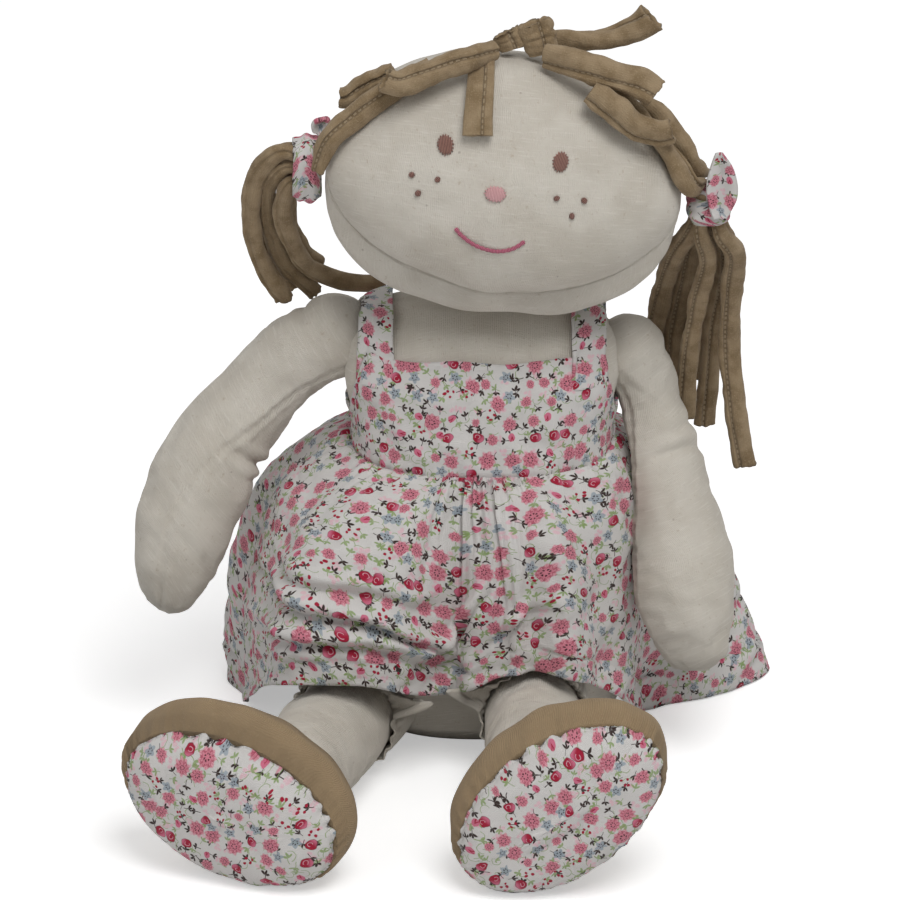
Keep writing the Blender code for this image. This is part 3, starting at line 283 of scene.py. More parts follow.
def ditsyPrint(name="ditsyPrint", settings=printSettings):
    # Small flowers on white: layered pink ones, crimson roses, buds, grey-blue ones, berries, blossoms and leaf sprigs.
    material, start, shader = newMaterial(name, 0.88, 0.1)
    place = clothPlace(start)
    warp = noise(start, place, 300.0, 1.0).other("Color").vector("SUBTRACT", (0.5, 0.5, 0.5))
    place = place.vector("ADD", warp.vector("MULTIPLY", (0.0016, 0.0016, 0.0)))
    colour = noise(start, place, 90.0).steps(0.3, 0.7).mix(settings["ground"], tuple(0.95 * c for c in settings["ground"]))

    # faint blossoms and curling stems
    x, y, kind, extra = motifCells(start, place, 5.9, 0.9, 11.3)
    blossom = inside(ovalDistance(x, y, 0.9, 0.2, 1.2, 1.0), 1.0, 0.5)
    blossom = blossom.math("MAXIMUM", inside(ovalDistance(x, y, -0.9, -0.3, 0.9, 1.2), 1.0, 0.5))
    blossom = blossom.math("MAXIMUM", inside(ovalDistance(x, y, 0.1, 1.2, 0.8, 0.9), 1.0, 0.5))
    colour = (blossom * (kind < 0.55) * 0.7).mix(colour, settings["pale"])
    radius = (x * x + y * y).math("SQRT")
    curl = inside((radius - 1.9).math("ABSOLUTE"), 0.2, 0.18) * (y > 0.0) * between(kind, 0.40, 1.0)
    colour = (curl * 0.9).mix(colour, settings["green"])

    # leaf sprigs: a middle leaf and two side ones on a stem, brown or green
    for size, shift, brownShare, greenShare in ((5.1, 3.1, 0.44, 0.86), (6.8, 23.7, 0.30, 0.74)):
        x, y, kind, extra = motifCells(start, place, size, 0.85, shift)
        side = x.math("ABSOLUTE")
        along, across = side * 0.80 + y * 0.60, side * 0.60 - y * 0.80
        leaves = inside(ovalDistance(x, y, 0.0, 1.15, 0.50, 1.05), 1.0, 0.3)
        leaves = leaves.math("MAXIMUM", inside(ovalDistance(across, along, 0.0, 1.05, 0.46, 1.05), 1.0, 0.3))
        leaves = leaves.math("MAXIMUM", inside(side, 0.19, 0.12) * between(y, -1.9, 0.5))
        colour = (leaves * (kind < brownShare)).mix(colour, settings["brown"])
        colour = (leaves * between(kind, brownShare, greenShare) * 0.85).mix(colour, settings["green"])

    # the flowers: one kind to a cell
    x, y, kind, extra = motifCells(start, place, settings["flowerCell"], 0.72, 0.0)
    radius = (x * x + y * y).math("SQRT")
    angle = y.math("ARCTAN2", x)
    petals, layered = zinnia(x, y, settings, extra * 0.25 + 0.88, extra)
    colour = (petals * (kind < 0.22)).mix(colour, layered)
    petals, layered = zinnia(x, y, settings, extra * 0.2 + 0.55, extra)
    colour = (petals * between(kind, 0.22, 0.34)).mix(colour, layered)

    rose = inside(ovalDistance(x, y, 0.0, 0.0, 2.5, 2.1), 1.0, 0.12)
    rosy = (x * 0.45 + 0.1).steps(0.0, 1.0).mix(settings["crimson"], settings["blush"])
    swirl = ovalDistance(x, y, -0.4, 0.2, 1.0, 1.0)
    swirl = inside((swirl - 0.85).math("ABSOLUTE"), 0.19, 0.12) * (y > -0.4)
    rosy = (swirl * 0.75).mix(rosy, settings["pale"])
    rim = (ovalDistance(x, y, 0.0, 0.0, 2.3, 1.9) - 1.0).math("ABSOLUTE")
    rosy = inside(rim, 0.09, 0.1).mix(rosy, settings["centre"])
    colour = (rose * between(kind, 0.34, 0.50)).mix(colour, rosy)

    bud = inside(ovalDistance(x, y, 0.0, 0.2, 1.5, 1.9), 1.0, 0.15)
    fold = (x.math("ABSOLUTE") * 1.6 - y * 0.5).math("ABSOLUTE")
    colour = (bud * between(kind, 0.50, 0.60)).mix(colour, inside(fold, 0.45, 0.3).mix(settings["blush"], settings["crimson"]))

    blue = petalRing(radius, angle, 5.0, 2.1, 0.5)
    bluish = (inside((radius - 0.9).math("ABSOLUTE"), 0.34, 0.15) * ((angle * 6.0).math("COSINE") > -0.2))
    colour = (blue * between(kind, 0.60, 0.80) * 0.9).mix(colour, bluish.mix(settings["blue"], settings["ink"]))

    berries = inside(ovalDistance(x, y, 0.3, 1.3, 0.72, 0.72), 1.0, 0.25)
    for centreX, centreY in ((-1.3, -0.6), (1.1, -1.1), (-0.9, 1.9)):
        berries = berries.math("MAXIMUM", inside(ovalDistance(x, y, centreX, centreY, 0.66, 0.66), 1.0, 0.25))
    colour = (berries * (kind > 0.80)).mix(colour, settings["crimson"])

    warpThread = (place.parts()[0] * (2 * math.pi / 0.00052)).math("SINE")
    weftThread = (place.parts()[1] * (2 * math.pi / 0.00052)).math("SINE")
    height = warpThread * 0.35 + weftThread * 0.35 + noise(start, place, 700.0) * 0.8
    finishMaterial(start, shader, colour, height, 0.00012)
    return material


hairSettings = {
    "colour": screen(154, 134, 106),
    "dark": screen(126, 106, 78),
    "light": screen(176, 157, 128),
    "thread": screen(184, 166, 138),
    # groove: the painted shade colour for the sunk stitch line
    "groove": screen(84, 66, 44),
    "wale": 0.00085,
    "stitch": 0.0024,
    "stitchLine": 0.0016,
}


def hairJersey(name="hairJersey", settings=hairSettings):
    # Knitted tube: fine lengthwise wales with painted shade in their troughs, worn lights, and a running stitch beside
    # the rolled edge, with painted shade in the stitch line's groove.
    material, start, shader = newMaterial(name, 0.95, 0.08)
    place = clothPlace(start)
    solid = start.node("ShaderNodeTexCoord", {}, {}, 3)
    across, along, unused = place.parts()
    mottle = noise(start, solid, 140.0, 3.0)
    fuzz = noise(start, solid, 1500.0, 2.0, 0.6)
    wales = (across * (2 * math.pi / settings["wale"])).math("SINE")
    rows = (along * (2 * math.pi / 0.0006)).math("SINE")
    colour = mottle.steps(0.3, 0.7).mix(settings["dark"], settings["colour"])
    colour = (fuzz.steps(0.5, 0.8) * 0.5).mix(colour, settings["light"])
    # painted shade in the troughs between the wales
    colour = ((wales < -0.5) * 0.10).mix(colour, settings["dark"])
    fromLine = (across - settings["stitchLine"]).math("ABSOLUTE")
    groove = fromLine.steps(0.0009, 0.0002)
    phase = (along / settings["stitch"]).math("FRACT")
    dash = fromLine.steps(0.0004, 0.00025) * between(phase, 0.2, 0.78)
    # painted shade: the stitch line's groove is darkened in the colour as well as sunk in the bump
    colour = (groove * 0.4).mix(colour, settings["groove"])
    colour = (dash * 0.45).mix(colour, settings["thread"])
    height = wales * 0.10 + rows * 0.08 + fuzz * 1.0 - groove * 1.8 + dash * 1.3
    finishMaterial(start, shader, colour, height, 0.0003)
    return material


# dark is the painted shade colour for the troughs between the ribs
footSettings = {"colour": screen(156, 134, 104), "dark": screen(122, 100, 72), "rib": 0.0009}


def footCloth(name="footCloth", settings=footSettings):
    # Ribbed tan jersey: the ribs run from the ankle to the sole's seam, with painted shade in the troughs between them.
    material, start, shader = newMaterial(name, 0.93, 0.08)
    place = clothPlace(start)
    solid = start.node("ShaderNodeTexCoord", {}, {}, 3)
    ribs = (place.parts()[0] * (2 * math.pi / settings["rib"])).math("SINE")
    fuzz = noise(start, solid, 1300.0, 2.0, 0.6)
    mottle = noise(start, solid, 80.0, 2.0)
    colour = mottle.steps(0.3, 0.7).mix(tuple(0.9 * c for c in settings["colour"]), settings["colour"])
    # painted shade: the troughs between the ribs are darkened in the colour
    colour = (ribs.steps(0.1, -0.9) * 0.25).mix(colour, settings["dark"])
    colour = (fuzz.steps(0.55, 0.8) * 0.3).mix(colour, screen(180, 160, 130))
    finishMaterial(start, shader, colour, ribs * 0.35 + fuzz * 0.8, 0.00025)
    return material


def satinStitch(name, colour, dark, pitch=0.0006):
    # Embroidery: bright threads side by side, each lit along its crown.
    material, start, shader = newMaterial(name, 0.45, 0.2)
    place = clothPlace(start)
    wobble = noise(start, place, 900.0, 1.0) * 2.2
    threads = (place.parts()[0] * (2 * math.pi / pitch) + wobble).math("SINE")
    patch = noise(start, place, 700.0, 2.0)
    shown = threads.steps(-0.9, 0.6).mix(dark, colour)
    shown = (patch.steps(0.5, 0.8) * 0.35).mix(shown, dark)
    finishMaterial(start, shader, shown, threads, 0.00015)
    return material


def buttonPlastic():
    # Pale pearly button with soft clouds.
    material, start, shader = newMaterial("buttonPlastic", 0.35, 0.0)
    solid = start.node("ShaderNodeTexCoord", {}, {}, 3)
    clouds = noise(start, solid, 500.0, 3.0)
    colour = clouds.steps(0.3, 0.7).mix(screen(226, 216, 200), screen(240, 234, 222))
    finishMaterial(start, shader, colour, noise(start, solid, 2500.0), 0.00003)
    return material


cream = creamJersey()
floral = ditsyPrint()
hair = hairJersey()
tan = footCloth()
eyeThread = satinStitch("eyeThread", screen(160, 114, 100), screen(104, 68, 58))
freckleThread = satinStitch("freckleThread", screen(148, 104, 92), screen(108, 72, 62))
noseThread = satinStitch("noseThread", screen(236, 186, 187), screen(206, 146, 149))
mouthThread = satinStitch("mouthThread", screen(204, 112, 136), screen(168, 78, 102))
print("finishes made")


# ---- surfaces

def curveThrough(points, places, closed=False):
    # Catmull-Rom through every point: p(t) = (2b + (c-a)t + (2a-5b+4c-d)t^2 + (3b-a-3c+d)t^3) / 2 from b to c.
    # places is a count of even steps, or an array of places counted in points.
    points = np.asarray(points, float)
    points = points[:, None] if points.ndim == 1 else points
    total = len(points)
    if closed:
        places = np.arange(places) * total / places
        spans = places.astype(int)
        a, b, c, d = (points[(spans + shift) % total] for shift in (-1, 0, 1, 2))
    else:
        places = np.linspace(0, total - 1, places) if isinstance(places, int) else places
        line = np.vstack([2 * points[0] - points[1], points, 2 * points[-1] - points[-2]])
        spans = np.clip(places.astype(int), 0, total - 2)
        a, b, c, d = (line[spans + shift] for shift in range(4))
    t = (places - spans)[:, None]
    return 0.5 * (2 * b + (c - a) * t + (2 * a - 5 * b + 4 * c - d) * t**2 + (3 * b - a - 3 * c + d) * t**3)


def readTable(table, values):
    # The second column and on of a table, read smoothly at values of its first column.
    dense = curveThrough(table, 400)
    return np.stack([np.interp(values, dense[:, 0], dense[:, k]) for k in range(1, dense.shape[1])], -1)


def evenSteps(path, count):
    # The same path at even steps of its length.
    lengths = np.concatenate([[0], np.cumsum(np.linalg.norm(np.diff(path, axis=0), axis=1))])
    places = np.linspace(0, lengths[-1], count)
    return np.stack([np.interp(places, lengths, path[:, k]) for k in range(3)], 1)


def ovalRing(angles, power):
    # Superellipse: (|cos a|^(2/n), |sin a|^(2/n)) with the signs of cos a and sin a.
    c, s = np.cos(angles), np.sin(angles)
    return np.sign(c) * np.abs(c) ** (2 / power), np.sign(s) * np.abs(s) ** (2 / power)


def ringAngles(count):
    return 2 * math.pi * np.arange(count) / count


def framesAlong(path, up):
    # At each point of a path: its direction t, a side up x t, and t x side.
    ahead = np.gradient(path, axis=0)
    ahead /= np.linalg.norm(ahead, axis=1)[:, None]
    sides = np.cross(np.asarray(up, float), ahead)
    sides /= np.linalg.norm(sides, axis=1)[:, None]
    return ahead, sides, np.cross(ahead, sides)


def surfaceNormals(grid, around=True):
    # n = dp/du x dp/dv, the cross product of the steps round and along.
    across = np.roll(grid, -1, 1) - np.roll(grid, 1, 1) if around else np.gradient(grid, axis=1)
    normals = np.cross(across, np.gradient(grid, axis=0))
    return normals / np.maximum(np.linalg.norm(normals, axis=2, keepdims=True), 1e-12)


def ripples(points, wavelength, seed, waves=14):
    # Sum of plane waves sin(k.p + f) in random directions, about -1 to 1.
    random = np.random.default_rng(seed)
    ways = random.normal(size=(waves, 3))
    ways *= 2 * math.pi / wavelength / np.linalg.norm(ways, axis=1)[:, None] * random.uniform(0.6, 1.5, (waves, 1))
    phases = random.uniform(0, 2 * math.pi, waves)
    return np.sin(points @ ways.T + phases).sum(-1) / math.sqrt(waves) / 1.4


def bell(distance, width):
    # exp(-(d/w)^2)
    return np.exp(-((distance / width) ** 2))


def softened(grid, distance, blur):
    # Near distance 0, each point moves to the mean of its column, weighted exp(-(difference in distance / blur)^2).
    gaps = np.abs(np.gradient(distance, axis=0)).T + 1e-7
    columns = distance.T
    weights = bell(columns[:, :, None] - columns[:, None, :], blur) * gaps[:, None, :]
    weights /= weights.sum(2, keepdims=True)
    mean = np.einsum("cij,jck->ick", weights, grid)
    return grid + (mean - grid) * bell(distance, 2 * blur)[:, :, None]


def flatPlaces(grid, around, middle=0):
    # Cloth places in metres: lengths along the rows from the middle column, and lengths along the columns.
    closed = np.concatenate([grid, grid[:, :1]], 1) if around else grid
    across = np.cumsum(np.linalg.norm(np.diff(closed, axis=1), axis=2), 1)
    across = np.concatenate([np.zeros((len(grid), 1)), across], 1)
    along = np.cumsum(np.linalg.norm(np.diff(closed, axis=0), axis=2), 0)
    along = np.concatenate([np.zeros((1, closed.shape[1])), along], 0)
    return np.stack([across - across[:, middle : middle + 1], along], 2)


def newPiece(name, grid, material, around=True, startPole=None, endPole=None, places=None):
    # Quads over a grid of points, with a fan to a pole at either end. The cloth's own places go in a UV map.
    rows, columns = grid.shape[:2]
    places = flatPlaces(grid, around) if places is None else places
    r, c = np.meshgrid(np.arange(rows - 1), np.arange(columns if around else columns - 1), indexing="ij")
    r, c = r.ravel(), c.ravel()
    after = (c + 1) % columns
    quads = np.stack([r * columns + c, r * columns + after, (r + 1) * columns + after, (r + 1) * columns + c], 1)
    flat = [places[r, c], places[r, c + 1], places[r + 1, c + 1], places[r + 1, c]]
    flat = np.stack(flat, 1).reshape(-1, 2)
    points, faces = grid.reshape(-1, 3), quads.tolist()
    for pole, row, turned in ((startPole, 0, True), (endPole, rows - 1, False)):
        if pole is None:
            continue
        points = np.vstack([points, pole])
        c = np.arange(columns)
        first, second = row * columns + c, row * columns + (c + 1) % columns
        firstPlace, secondPlace = places[row, c], places[row, c + 1]
        tipPlace = (firstPlace + secondPlace) / 2
        if turned:
            first, second, firstPlace, secondPlace = second, first, secondPlace, firstPlace
        faces += np.stack([first, second, np.full(columns, len(points) - 1)], 1).tolist()
        flat = np.vstack([flat, np.stack([firstPlace, secondPlace, tipPlace], 1).reshape(-1, 2)])
    mesh = bpy.data.meshes.new(name)
    mesh.from_pydata(points.tolist(), [], faces)
    mesh.uv_layers.new(name="cloth").data.foreach_set("uv", flat.ravel())
    mesh.shade_smooth()
    mesh.materials.append(material)
    mesh.validate()
    piece = bpy.data.objects.new(name, mesh)
    bpy.context.scene.collection.objects.link(piece)
    return piece


def smoother(piece):
    finer = piece.modifiers.new("finer", "SUBSURF")
    finer.levels = finer.render_levels = 1
    return piece


def thicken(piece, thickness, offset=-1.0):
    wall = piece.modifiers.new("cloth", "SOLIDIFY")
    wall.thickness = thickness
    wall.offset = offset
    return piece


def relaxed(piece, grid, held, loose, press, reach, sink=0.4):
    # The cloth's own simulation: cut larger by loose, held where sewn and pressed out by its padding for 20 frames.
    # A point goes reach at most, and sink of that inwards.
    started = time.time()
    group = piece.vertex_groups.new(name="sewn")
    group.add(np.flatnonzero(np.broadcast_to(held, grid.shape[:2]).ravel()).tolist(), 1.0, "REPLACE")
    cloth = piece.modifiers.new("settling", "CLOTH")
    rules = cloth.settings
    rules.quality, rules.mass, rules.bending_stiffness = 4, 0.3, 0.03
    rules.tension_stiffness = rules.compression_stiffness = 12
    rules.shear_stiffness = 4
    rules.use_pressure, rules.uniform_pressure_force = press > 0, press
    rules.shrink_min = -loose
    rules.vertex_group_mass = "sewn"
    rules.effector_weights.gravity = 0
    cloth.collision_settings.use_collision = False
    cloth.point_cache.frame_start, cloth.point_cache.frame_end = 1, 20
    for moment in range(1, 21):
        bpy.context.scene.frame_set(moment)
    shown = piece.evaluated_get(bpy.context.evaluated_depsgraph_get()).data
    before, after = np.empty(len(piece.data.vertices) * 3), np.empty(len(piece.data.vertices) * 3)
    piece.data.vertices.foreach_get("co", before)
    shown.vertices.foreach_get("co", after)
    piece.modifiers.remove(cloth)
    piece.vertex_groups.clear()
    bpy.context.scene.frame_set(1)
    count = grid.shape[0] * grid.shape[1]
    before, after = before.reshape(-1, 3), after.reshape(-1, 3)
    change = (after - before)[:count].reshape(grid.shape)
    normals = surfaceNormals(grid)
    out = (change * normals).sum(2)
    # the even swelling is left out, so that only the creases and the puff between seams stay
    even = np.median(out[~np.broadcast_to(held, grid.shape[:2])]) * 0.8
    out = np.where(held, 0.0, out - np.clip(even, 0, None) * np.clip(out / max(even, 1e-6), 0, 1))
    out = np.where(out > 0, reach * np.tanh(out / reach), sink * reach * np.tanh(out / (sink * reach)))
    slide = change - (change * normals).sum(2)[:, :, None] * normals
    slide *= np.minimum(1, reach / np.maximum(np.linalg.norm(slide, axis=2, keepdims=True), 1e-9))
    before[:count] += (normals * out[:, :, None] + slide * 0.6).reshape(-1, 3)
    piece.data.vertices.foreach_set("co", before.ravel())
    piece.data.update()
    print("settled", piece.name, "in", round(time.time() - started, 1), "s; mm", (np.abs(out).mean() * 1000).round(2), (np.abs(out).max() * 1000).round(2))
    return piece


def settle(piece, body, nodes):
    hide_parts(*nodes)
    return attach(piece, body)


# ---- head

headSettings = {
    "width": 0.140,
    "height": 0.093,
    "bulge": 0.027,
    "depth": 0.062,
    "chinSwell": 0.011,
    "crownSwell": 0.0005,
    "tipSag": 0.0055,
    "place": (0.009, -0.031, 0.2473),
    "roll": 6.5,
    "tilt": 15.0,
    "seamPower": 1.75,
    "backPower": 2.25,
    "columns": 160,
    "grooveDepth": 0.0013,
    "grooveWidth": 0.00055,
    "pucker": 0.00022,
    # how far from the seam the two halves run into each other
    "soften": 0.0045,
    # size of the ring, and how far forward of the seam it lies
    "face": ((0, 1), (0.12, 0.99), (0.34, 0.94), (0.57, 0.82), (0.76, 0.64), (0.90, 0.42), (0.975, 0.20), (1.0, 0.0)),
    # depth behind the seam, size and swell
    "back": (
        (0.0, 1.0, 0.0),
        (0.09, 1.0, 0.70),
        (0.24, 1.0, 1.0),
        (0.43, 0.98, 0.95),
        (0.64, 0.90, 0.60),
        (0.82, 0.74, 0.20),
        (0.94, 0.50, 0.0),
        (0.99, 0.24, 0.0),
        (1.0, 0.0, 0.0),
    ),
}


def headMatrix():
    turn = Matrix.Rotation(math.radians(headSettings["roll"]), 4, "Y")
    turn = turn @ Matrix.Rotation(math.radians(-headSettings["tilt"]), 4, "X")
    return Matrix.Translation(headSettings["place"]) @ turn


def onHead(points):
    # p -> R p + place
    matrix = np.array(headMatrix())
    return points @ matrix[:3, :3].T + matrix[:3, 3]


def headRing(size, up, down, power, depth, columns):
    # x = size w/2 cos^(2/n), z = size h sin^(2/n) - sag (2x/w)^2, at a depth behind the seam.
    s = headSettings
    angles = -ringAngles(columns)[None, :]
    across, level = ovalRing(angles, power[:, None])
    x = size[:, None] * s["width"] / 2 * across
    z = size[:, None] * level * np.where(level > 0, up[:, None], down[:, None])
    z = z - s["tipSag"] * (x / (s["width"] / 2)) ** 2
    return np.stack([x, np.broadcast_to(depth[:, None], x.shape), z], 2)


def makeHead():
    # Two cushions sewn at their widest ring, with a sunk seam that puckers the cloth beside it.
    s = headSettings
    q = np.linspace(0.03, 1, 46)
    face = curveThrough(s["face"], (1 - (1 - q) ** 1.5) * (len(s["face"]) - 1))
    half = np.full(len(q), s["height"] / 2)
    frontRows = headRing(face[:, 0], half, half, np.full(len(q), s["seamPower"]), -face[:, 1] * s["bulge"], s["columns"])
    q = np.linspace(0, 0.985, 62)[1:]
    back = curveThrough(s["back"], q**1.5 * (len(s["back"]) - 1))
    depth, size, swell = back[:, 0], back[:, 1], back[:, 2]
    power = s["seamPower"] + (s["backPower"] - s["seamPower"]) * np.minimum(1, np.maximum(swell, 0) + 2 * depth)
    up, down = s["height"] / 2 + swell * s["crownSwell"], s["height"] / 2 + swell * s["chinSwell"]
    backRows = headRing(size, up, down, power, depth * s["depth"], s["columns"])
    frontRows = np.concatenate([frontRows, frontRows[-1:] + (0, 0.00006, 0)])
    grid = np.concatenate([frontRows, backRows])
    seamRow = len(frontRows) - 2
    lengths = flatPlaces(grid, True)
    fromSeam = lengths[:, :-1, 1] - lengths[seamRow, :-1, 1]
    round = lengths[seamRow, :-1, 0]
    # each half is cut flat: its places run out from its own pole
    way = grid[seamRow][:, (0, 2)] / np.linalg.norm(grid[seamRow][:, (0, 2)], axis=1)[:, None]
    out = lengths[:, :-1, 1]
    out = np.where(np.arange(len(grid))[:, None] <= seamRow, out, lengths[-1, :-1, 1] - out)
    places = out[:, :, None] * way[None]
    places[seamRow + 1 :] += (0.3, 0.0)
    places = np.concatenate([places, places[:, :1]], 1)
    grid = softened(grid, fromSeam, s["soften"])
    normals = surfaceNormals(grid)
    pucker = np.sin(2 * math.pi * round / 0.0042 + 2.2 * np.sin(round / 0.011)) * np.exp(-np.abs(fromSeam) / 0.0035)
    wrinkle = ripples(grid, 0.034, 3) * 0.0005 + ripples(grid, 0.012, 4) * 0.00015
    change = wrinkle + s["pucker"] * pucker - s["grooveDepth"] * bell(fromSeam, s["grooveWidth"])
    change += 0.0002 * bell(fromSeam - 0.0024, 0.0016)
    grid = onHead(grid + normals * change[:, :, None])
    poles = onHead(np.array([(0, -s["bulge"], 0), (0, s["depth"], 0)]))
    head = newPiece("head", grid, cream, True, poles[0], poles[1], places)
    relaxed(head, grid, np.abs(fromSeam) < 0.0006, 0.03, 1.5, 0.0009)
    smoother(head)
    return settle(head, "head", ["head_face", "head_back", "head_stuffing"])


faceTable = curveThrough(headSettings["face"], 400)


def facePoints(x, z, lift=0.0):
    # The face over a place of its seam's plane: y = -bulge rise(size), lifted along the surface's normal.
    s = headSettings

    def surface(x, z):
        level = (z + s["tipSag"] * (x / (s["width"] / 2)) ** 2) / (s["height"] / 2)
        size = (np.abs(x / (s["width"] / 2)) ** s["seamPower"] + np.abs(level) ** s["seamPower"]) ** (1 / s["seamPower"])
        return -s["bulge"] * np.interp(size, faceTable[:, 0], faceTable[:, 1])

    step = 0.0008
    slopeX = (surface(x + step, z) - surface(x - step, z)) / (2 * step)
    slopeZ = (surface(x, z + step) - surface(x, z - step)) / (2 * step)
    normals = np.stack([slopeX, -np.ones_like(slopeX), slopeZ], -1)
    normals /= np.linalg.norm(normals, axis=-1, keepdims=True)
    return onHead(np.stack([x, surface(x, z), z], -1) + normals * np.asarray(lift)[..., None])


# Places in millimetres across and up the face from its middle, then half sizes and the turn of the threads
embroiderySettings = {
    "eye_right": {"place": (-25.8, 12.6), "half": (3.1, 3.9), "turn": 12, "material": eyeThread, "lift": 0.8},
    "eye_left": {"place": (19.5, 10.8), "half": (3.1, 3.9), "turn": -8, "material": eyeThread, "lift": 0.8},
    "nose": {"place": (-4.5, -4.2), "half": (4.1, 3.1), "turn": 0, "material": noseThread, "lift": 0.9},
    "freckle_right_a": {"place": (-37.6, -0.6), "half": (1.15, 1.1), "turn": 20, "material": freckleThread, "lift": 0.45},
    "freckle_right_b": {"place": (-27.4, -1.1), "half": (1.2, 1.1), "turn": 50, "material": freckleThread, "lift": 0.45},
    "freckle_right_c": {"place": (-34.4, -7.6), "half": (1.1, 1.2), "turn": -20, "material": freckleThread, "lift": 0.45},
    "freckle_left_a": {"place": (19.5, -3.5), "half": (1.15, 1.0), "turn": 30, "material": freckleThread, "lift": 0.45},
    "freckle_left_b": {"place": (30.4, -3.5), "half": (1.2, 1.1), "turn": -40, "material": freckleThread, "lift": 0.45},
    "freckle_left_c": {"place": (26.3, -10.1), "half": (1.0, 1.2), "turn": 10, "material": freckleThread, "lift": 0.45},
}
mouthSettings = {
    "route": ((-18.4, -19.6), (-15.2, -22.6), (-9.5, -25.8), (-2.0, -27.2), (4.5, -25.6), (9.1, -21.9)),
    "radius": 0.00068,
    "stitch": 0.0021,
}


def makeEmbroidery():
    # A pad r(a) = half size (1 + jag cos(n a)), lifted by lift (1 - s^2)^(1/2) off the face.
    for name, s in embroiderySettings.items():
        shares = np.linspace(0.06, 1.0, 14)[:, None]
        angles = -ringAngles(72)[None, :]
        random = np.random.default_rng(len(name) + int(s["turn"]) % 7)
        jag = 1 + 0.13 * np.sin(angles * 18 + 1.3) * shares**4 + 0.04 * random.normal(size=(1, 72)) * shares**4
        u = shares * jag * np.cos(angles) * s["half"][0] * mm
        v = shares * jag * np.sin(angles) * s["half"][1] * mm
        turn = math.radians(s["turn"])
        x = s["place"][0] * mm + u * math.cos(turn) - v * math.sin(turn)
        z = s["place"][1] * mm + u * math.sin(turn) + v * math.cos(turn)
        lift = 0.00025 + s["lift"] * mm * np.sqrt(np.clip(1.0 - (shares * 0.98) ** 2, 0, 1)) + 0.0 * angles
        lift = np.where(shares > 0.99, -0.0006, lift)
        grid = facePoints(x, z, lift)
        places = np.stack([u, v], 2)
        places = np.concatenate([places, places[:, :1]], 1)
        pole = facePoints(np.array(s["place"][0] * mm), np.array(s["place"][1] * mm), np.array(s["lift"] * mm + 0.00025))
        pad = newPiece(name, grid, s["material"], True, pole, None, places)
        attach(pad, "head")
    # the mouth: a cord of chain stitches, its radius r (0.75 + 0.25 |sin(pi d / stitch)|)
    s = mouthSettings
    line = curveThrough(np.array(s["route"]) * mm, 200)
    spots = facePoints(line[:, 0], line[:, 1], np.full(len(line), 0.0002))
    spots = evenSteps(spots, 220)
    ahead, sides, ups = framesAlong(spots, (0.0, 1.0, 0.0))
    length = np.cumsum(np.concatenate([[0], np.linalg.norm(np.diff(spots, axis=0), axis=1)]))
    radius = s["radius"] * (0.72 + 0.28 * np.abs(np.sin(math.pi * length / s["stitch"])))
    radius[0] = radius[-1] = s["radius"] * 0.2
    angles = ringAngles(12)
    ring = np.cos(angles)[None, :, None] * sides[:, None] * 1.35 + np.sin(angles)[None, :, None] * ups[:, None] * 0.8
    grid = spots[:, None] + ring * radius[:, None, None]
    places = np.stack(np.broadcast_arrays(length[:, None], (np.arange(13) / 12 * 0.004)[None, :]), 2)
    mouth = newPiece("mouth", grid, mouthThread, True, spots[0], spots[-1], places)
    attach(mouth, "head")


# ---- body and neck

bodySettings = {
    "height": 0.182,
    "width": 0.118,
    "depth": 0.080,
    "setBack": 0.008,
    "power": 2.4,
    # share of the height, then shares of the half width, half depth and set-back
    "rows": (
        (0.000, 0.66, 0.62, 0.5),
        (0.045, 0.88, 0.88, 0.5),
        (0.150, 1.00, 1.00, 0.75),
        (0.270, 1.00, 1.00, 1.0),
        (0.430, 0.92, 0.97, 1.0),
        (0.590, 0.83, 0.90, 1.0),
        (0.720, 0.85, 0.86, 0.75),
        (0.840, 0.93, 0.80, 0.5),
        (0.910, 0.92, 0.68, 0.25),
        (0.962, 0.80, 0.52, 0.0),
        (0.990, 0.54, 0.34, 0.0),
    ),
}
clothThickness = 0.0011


def bodySection(heights, grow=0.0):
    # Half width, half depth and middle of the body's oval at heights.
    s = bodySettings
    rows = np.array(s["rows"])
    level = np.asarray(heights) / s["height"]
    width, depth, back = (np.interp(level, rows[:, 0], rows[:, k]) for k in (1, 2, 3))
    return width * s["width"] / 2 + grow, depth * s["depth"] / 2 + grow, -back * s["setBack"]


def bodyWall(across, heights, grow, back):
    # y = middle -+ half depth (1 - |x / half width|^n)^(1/n)
    power = bodySettings["power"]
    halfWidth, halfDepth, middle = bodySection(heights, grow)
    share = np.minimum(np.abs(across) / halfWidth, 1.0)
    reach = halfDepth * (1 - share**power) ** (1 / power)
    return middle + np.where(back, reach, -reach)


def bodyRows(heights, grow, columns, start=0.0, turn=2 * math.pi, closed=True):
    halfWidth, halfDepth, middle = bodySection(heights, grow)
    angles = start + turn * np.arange(columns) / (columns if closed else columns - 1)
    across, along = ovalRing(angles, bodySettings["power"])
    x = halfWidth[:, None] * across
    y = halfDepth[:, None] * along + middle[:, None]
    return np.stack([x, y, np.broadcast_to(np.asarray(heights)[:, None], x.shape)], 2)


